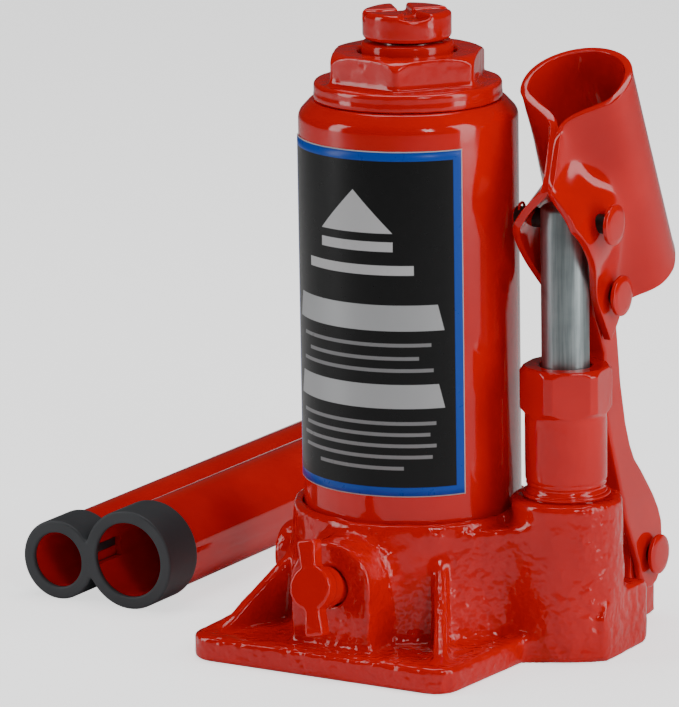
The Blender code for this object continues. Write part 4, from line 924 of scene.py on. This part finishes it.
def headed_pin(node, body):
    """A pin along X: a domed painted head on the right, a shank coloured near-black as painted shade of the gap
    under the head, and a painted tail on the left.
    """
    low, high = span(node)
    y, z = (low[1:] + high[1:]) / 2
    head = high[0] - 1.5
    head_radius, shank_radius = 5.0, 2.4
    profile = [(0, high[0]), (3.6, high[0] - 0.12, 3.0), (head_radius, high[0] - 0.45, 0.3),
               (head_radius, head, 0.3), (shank_radius, head), (shank_radius, low[0], 0.5), (0, low[0])]
    pin = lathe(node + "_headed", profile, sheet_enamel, (y, z), 72, along="x")
    pin.data.materials.append(gap_shade_steel.material)
    rounds = np.array([point.center[0] * 1000 for point in pin.data.polygons])
    # The shank's faces take the near-black finish, which paints the gap's shade into their colour.
    shank = (rounds < head - 0.05) & (rounds > low[0] + 5.0)
    pin.data.polygons.foreach_set("material_index", shank.astype(int))
    dress(pin, node, body)


def tube_along(name, path, radius, finish, segments=12):
    """A round wire carried along a path of points, with flat ends. Its frame stays square to a fixed side."""
    path = np.asarray(path, float)
    way = np.gradient(path, axis=0)
    way /= np.linalg.norm(way, axis=1, keepdims=True)
    side = np.cross(way, (1.0, 0.02, 0.03))
    side /= np.linalg.norm(side, axis=1, keepdims=True)
    other = np.cross(way, side)
    turn = np.linspace(0, 2 * np.pi, segments, endpoint=False)
    points = (path[:, None] + radius * (np.cos(turn)[None, :, None] * side[:, None]
                                        + np.sin(turn)[None, :, None] * other[:, None])).reshape(-1, 3)
    return show(name, points, tube_faces(len(path), segments), finish)


def split_pin(node, body):
    """A bent wire pin: an eye on top, two legs through the hole, and ends that spread below."""
    low, high = span(node)
    x, y = (low[:2] + high[:2]) / 2
    radius = (high[0] - low[0]) / 2
    eye = 1.35
    centre_z = high[2] - eye - 0.3
    turn = np.linspace(-0.38 * math.pi, 1.38 * math.pi, 22)
    loop = np.stack([0 * turn, eye * np.cos(turn), centre_z + eye * np.sin(turn)], 1)
    leg = np.linspace(0, 1, 12)[1:]
    ends = []
    for sign, first in ((1, loop[0]), (-1, loop[-1])):
        fall = first[2] + (low[2] + 0.5 - first[2]) * leg
        lateral = sign * (0.33 + 1.5 * np.clip((leg - 0.62) / 0.38, 0, 1) ** 1.6)
        ends.append(np.stack([0 * leg, lateral, fall], 1))
    path = np.concatenate([ends[0][::-1], loop, ends[1]]) + (x, y, 0)
    dress(tube_along(node + "_bent", path, radius * 0.62, sheet_enamel), node, body)


for node, body in (("plunger_pin", "handle_socket"), ("link_pin", "handle_socket"), ("base_pin", "jack_body")):
    headed_pin(node, body)
    split_pin(node + "_split_pin", body)

link_low, link_high = span("pump_link")
rise_y, rise_z = column_y + 11.8 - lug_y, 87.8 - lug_z
link_line = [(rise_y + 3.9 * math.cos(turn), rise_z + 3.9 * math.sin(turn))
             for turn in np.radians(np.linspace(10, 185, 8))]
link_line += [(rise_y - 3.2, rise_z - 4.6), (rise_y + 1.8, rise_z - 14.5), (rise_y + 1.8, rise_z - 30.0),
              (rise_y + 3.5, rise_z - 37.4), (-12.0, 11.9)]
link_line += [(5.1 * math.cos(turn), 7.5 * math.sin(turn)) for turn in np.radians(np.linspace(185, 385, 10))]
link_line += [(4.3, 7.0), (2.9, 10.2), (0.5, 13.8), (-2.6, 17.8), (-5.5, 21.4), (-8.9, 25.3),
              (-11.0, 29.5), (-12.9, 36.0)]
link_room = [(-19.9 + 1.2, rise_z - 16.5), (-21.4 + 5.0, rise_z - 30.0), (-14.6, 29.0), (-10.0, 16.0),
             (-30.0, 16.0), (-30.0, -20.0), (30.0, -20.0), (30.0, rise_z - 14.0), (-19.0, rise_z - 14.0)]


def link(x, y, z):
    """The link's outline as a polygon grown by a rounding radius, given a width that narrows upward, less
    the channel between its cheeks and the two pin holes."""
    u, v = y - lug_y, z - lug_z
    slim = 6.0 - 1.5 * np.clip((v - 16) / (rise_z - 40), 0, 1)
    flat = polygon(u, v, link_line) - 1.5
    body = slab(flat, np.abs(x - column_x) - slim, 0.8)
    room = np.maximum(polygon(u, v, link_room), np.abs(x - column_x) - slim + 2.0)
    body = carve(body, room, 0.8)
    eye = np.maximum(np.hypot(u - rise_y, v - rise_z) - 4.0, np.abs(x - column_x) - 9)
    foot = np.maximum(np.hypot(u, v) - 2.6, np.abs(x - column_x) - 9)
    return carve(carve(body, eye, 0.4), foot, 0.4)


dress(skin("channel_link", link, link_low, link_high, 0.42, sheet_enamel,
           lambda x, y, z: 0.03 * lumps(x, y, z, 5.0, 12)), "pump_link", "pump_link")


# ------------------------------------------------------------ release valve and relief plug
# A forged screw with two wings opens the release port; its bore slopes down into the base. A slotted plug
# closes the relief port on the other side.

valve_low, valve_high = span("release_valve_screw")


def winged(x, y, z):
    """The valve screw: a cross bar that widens to its ends blended with a disc, on a round stem, neck and
    thread that share the sloping axis."""
    out, lift = valve_axes(y, z)
    side = x - valve_x
    turn = math.radians(12)
    u, v = side * math.cos(turn) + lift * math.sin(turn), -side * math.sin(turn) + lift * math.cos(turn)
    radius = np.hypot(side, lift)
    arm = slab(np.abs(u) - 1.65 - 0.075 * np.abs(v), np.abs(v) - 11.75, 0.9)
    plate = blend(arm, radius - 5.6, 0.7)
    head = slab(plate, between(out, 5.5, 9.8), 0.75)
    stem = slab(radius - 5.2, between(out, 1.6, 6.2), 0.5)
    neck = slab(radius - 4.3, between(out, -2, 5), 0.2)
    thread = slab(radius - 4.45, between(out, -15, -1.0), 0.4)
    return blend(blend(np.minimum(neck, thread), stem, 0.5), head, 0.7)


dress(skin("winged_valve", winged, valve_low, valve_high, 0.30, forged_enamel,
           lambda x, y, z: 0.3 * forged(x, y, z)),
      "release_valve_screw", "valve_screw")
relief_low, relief_high = span("relief_valve_plug")


def block(name, xs, ys, zs, place, finish):
    """A box between these pairs of coordinates, moved to a place."""
    corners = np.array([(x, y, z) for x in xs for y in ys for z in zs]) + place
    sides = [(0, 1, 3, 2), (4, 6, 7, 5), (0, 4, 5, 1), (2, 3, 7, 6), (0, 2, 6, 4), (1, 5, 7, 3)]
    return show(name, corners, sides, finish, False)


cutter = block("slot_cutter", (-3, 3), (-6, 6), (-0.55, 0.55), (relief_low[0], relief_y, relief_z), cast_enamel)
relief_profile = [(0, relief_high[0]), (4.0, relief_high[0], 0.2), (4.0, relief_low[0], 0.5),
                  (0, relief_low[0])]
relief = lathe("relief_plug_slotted", relief_profile, cast_enamel, (relief_y, relief_z), 64, along="x")
dress(bored(relief, cutter), "relief_valve_plug", "jack_body")


# ------------------------------------------------------------ handle tubes and their clip
# Two enamelled steel tubes that join into the pump handle, held side by side by a moulded clip that
# covers their near ends. The larger tube has a slot that catches the smaller one's peg.

clip_low, clip_high = span("handle_clip")
tubes = {}
for node in ("handle_tube_large", "handle_tube_small"):
    tube_low, tube_high = span(node)
    middle, radius = (tube_low + tube_high) / 2, (tube_high[0] - tube_low[0]) / 2
    tubes[node] = (middle, radius)
    inside, near, far = radius - 1.5, tube_low[1], tube_high[1]
    profile = [(inside, far, 0.3), (radius, far, 0.4), (radius, near, 0.4), (inside, near, 0.4), (inside, far - 1.0)]
    shape = lathe(node + "_round", profile, tube_enamel, (middle[0], middle[2]), 144, closed=True, along="y")
    if node == "handle_tube_large":
        bored(shape, block("tube_slot_cutter", (-15, 15), (-3, 11), (-2.8, 2.8),
                           (middle[0], near, middle[2]), tube_enamel))
    dress(shape, node, "tube_large" if "large" in node else "tube_small")

moulded = mottled("clip_plastic", ((0.040, 0.043, 0.047), (0.062, 0.066, 0.072)), (0.010, 4),
                  (0.42, 0.14, 0.003, 4), (0.0005, 0.000012), Specular_IOR_Level=0.4)


def clip(x, y, z):
    """Two round cups blended side by side, less the tubes' rooms and a smaller hole through each face."""
    outer, rooms, holes = None, [], []
    for middle, radius in tubes.values():
        distance = np.hypot(x - middle[0], z - middle[2])
        outer = distance - radius - 1.0 if outer is None else blend(outer, distance - radius - 1.0, 1.2)
        rooms.append(np.maximum(distance - radius - 0.15, clip_low[1] + 1.4 - y))
        holes.append(distance - radius + 2.2)
    body = slab(outer, between(y, clip_low[1], clip_high[1]), 0.45)
    for space in rooms:
        body = carve(body, space, 0.25)
    for space in holes:
        body = carve(body, space, 0.5)
    return body


dress(skin("double_clip", clip, clip_low, clip_high, 0.34, moulded),
      "handle_clip", "handle_clip")


# ------------------------------------------------------------ pieces kept from the frame
# Seals, springs, balls and the inner cylinder keep their own shapes, which are right, and get the finish
# of what they are made of.

copper = mottled("annealed_copper", ((0.62, 0.30, 0.18), (0.78, 0.44, 0.30)), (0.004, 4),
                 (0.30, 0.2, 0.002, 3), Metallic=1.0)
polymer = mottled("seal_polymer_cream", ((0.55, 0.47, 0.30), (0.66, 0.58, 0.40)), (0.003, 3),
                  (0.42, 0.12, 0.002, 3), Specular_IOR_Level=0.4)
kept = {
    soft_rubber: ("tank_top_gasket", "tank_base_gasket", "ram_wiper", "piston_cup_seal", "pump_gland_seal"),
    copper: ("cylinder_foot_washer", "oil_strainer"),
    polymer: ("piston_guide_ring", "plunger_cup_seal"),
    polished: ("ram_cylinder", "screw_stop_ring", "suction_ball", "release_valve_ball", "relief_spring",
               "relief_ball"),
}
for finish, nodes in kept.items():
    for node in nodes:
        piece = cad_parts[node]
        for place in piece.material_slots:
            place.material = finish.material
        if not piece.material_slots:
            piece.data.materials.append(finish.material)
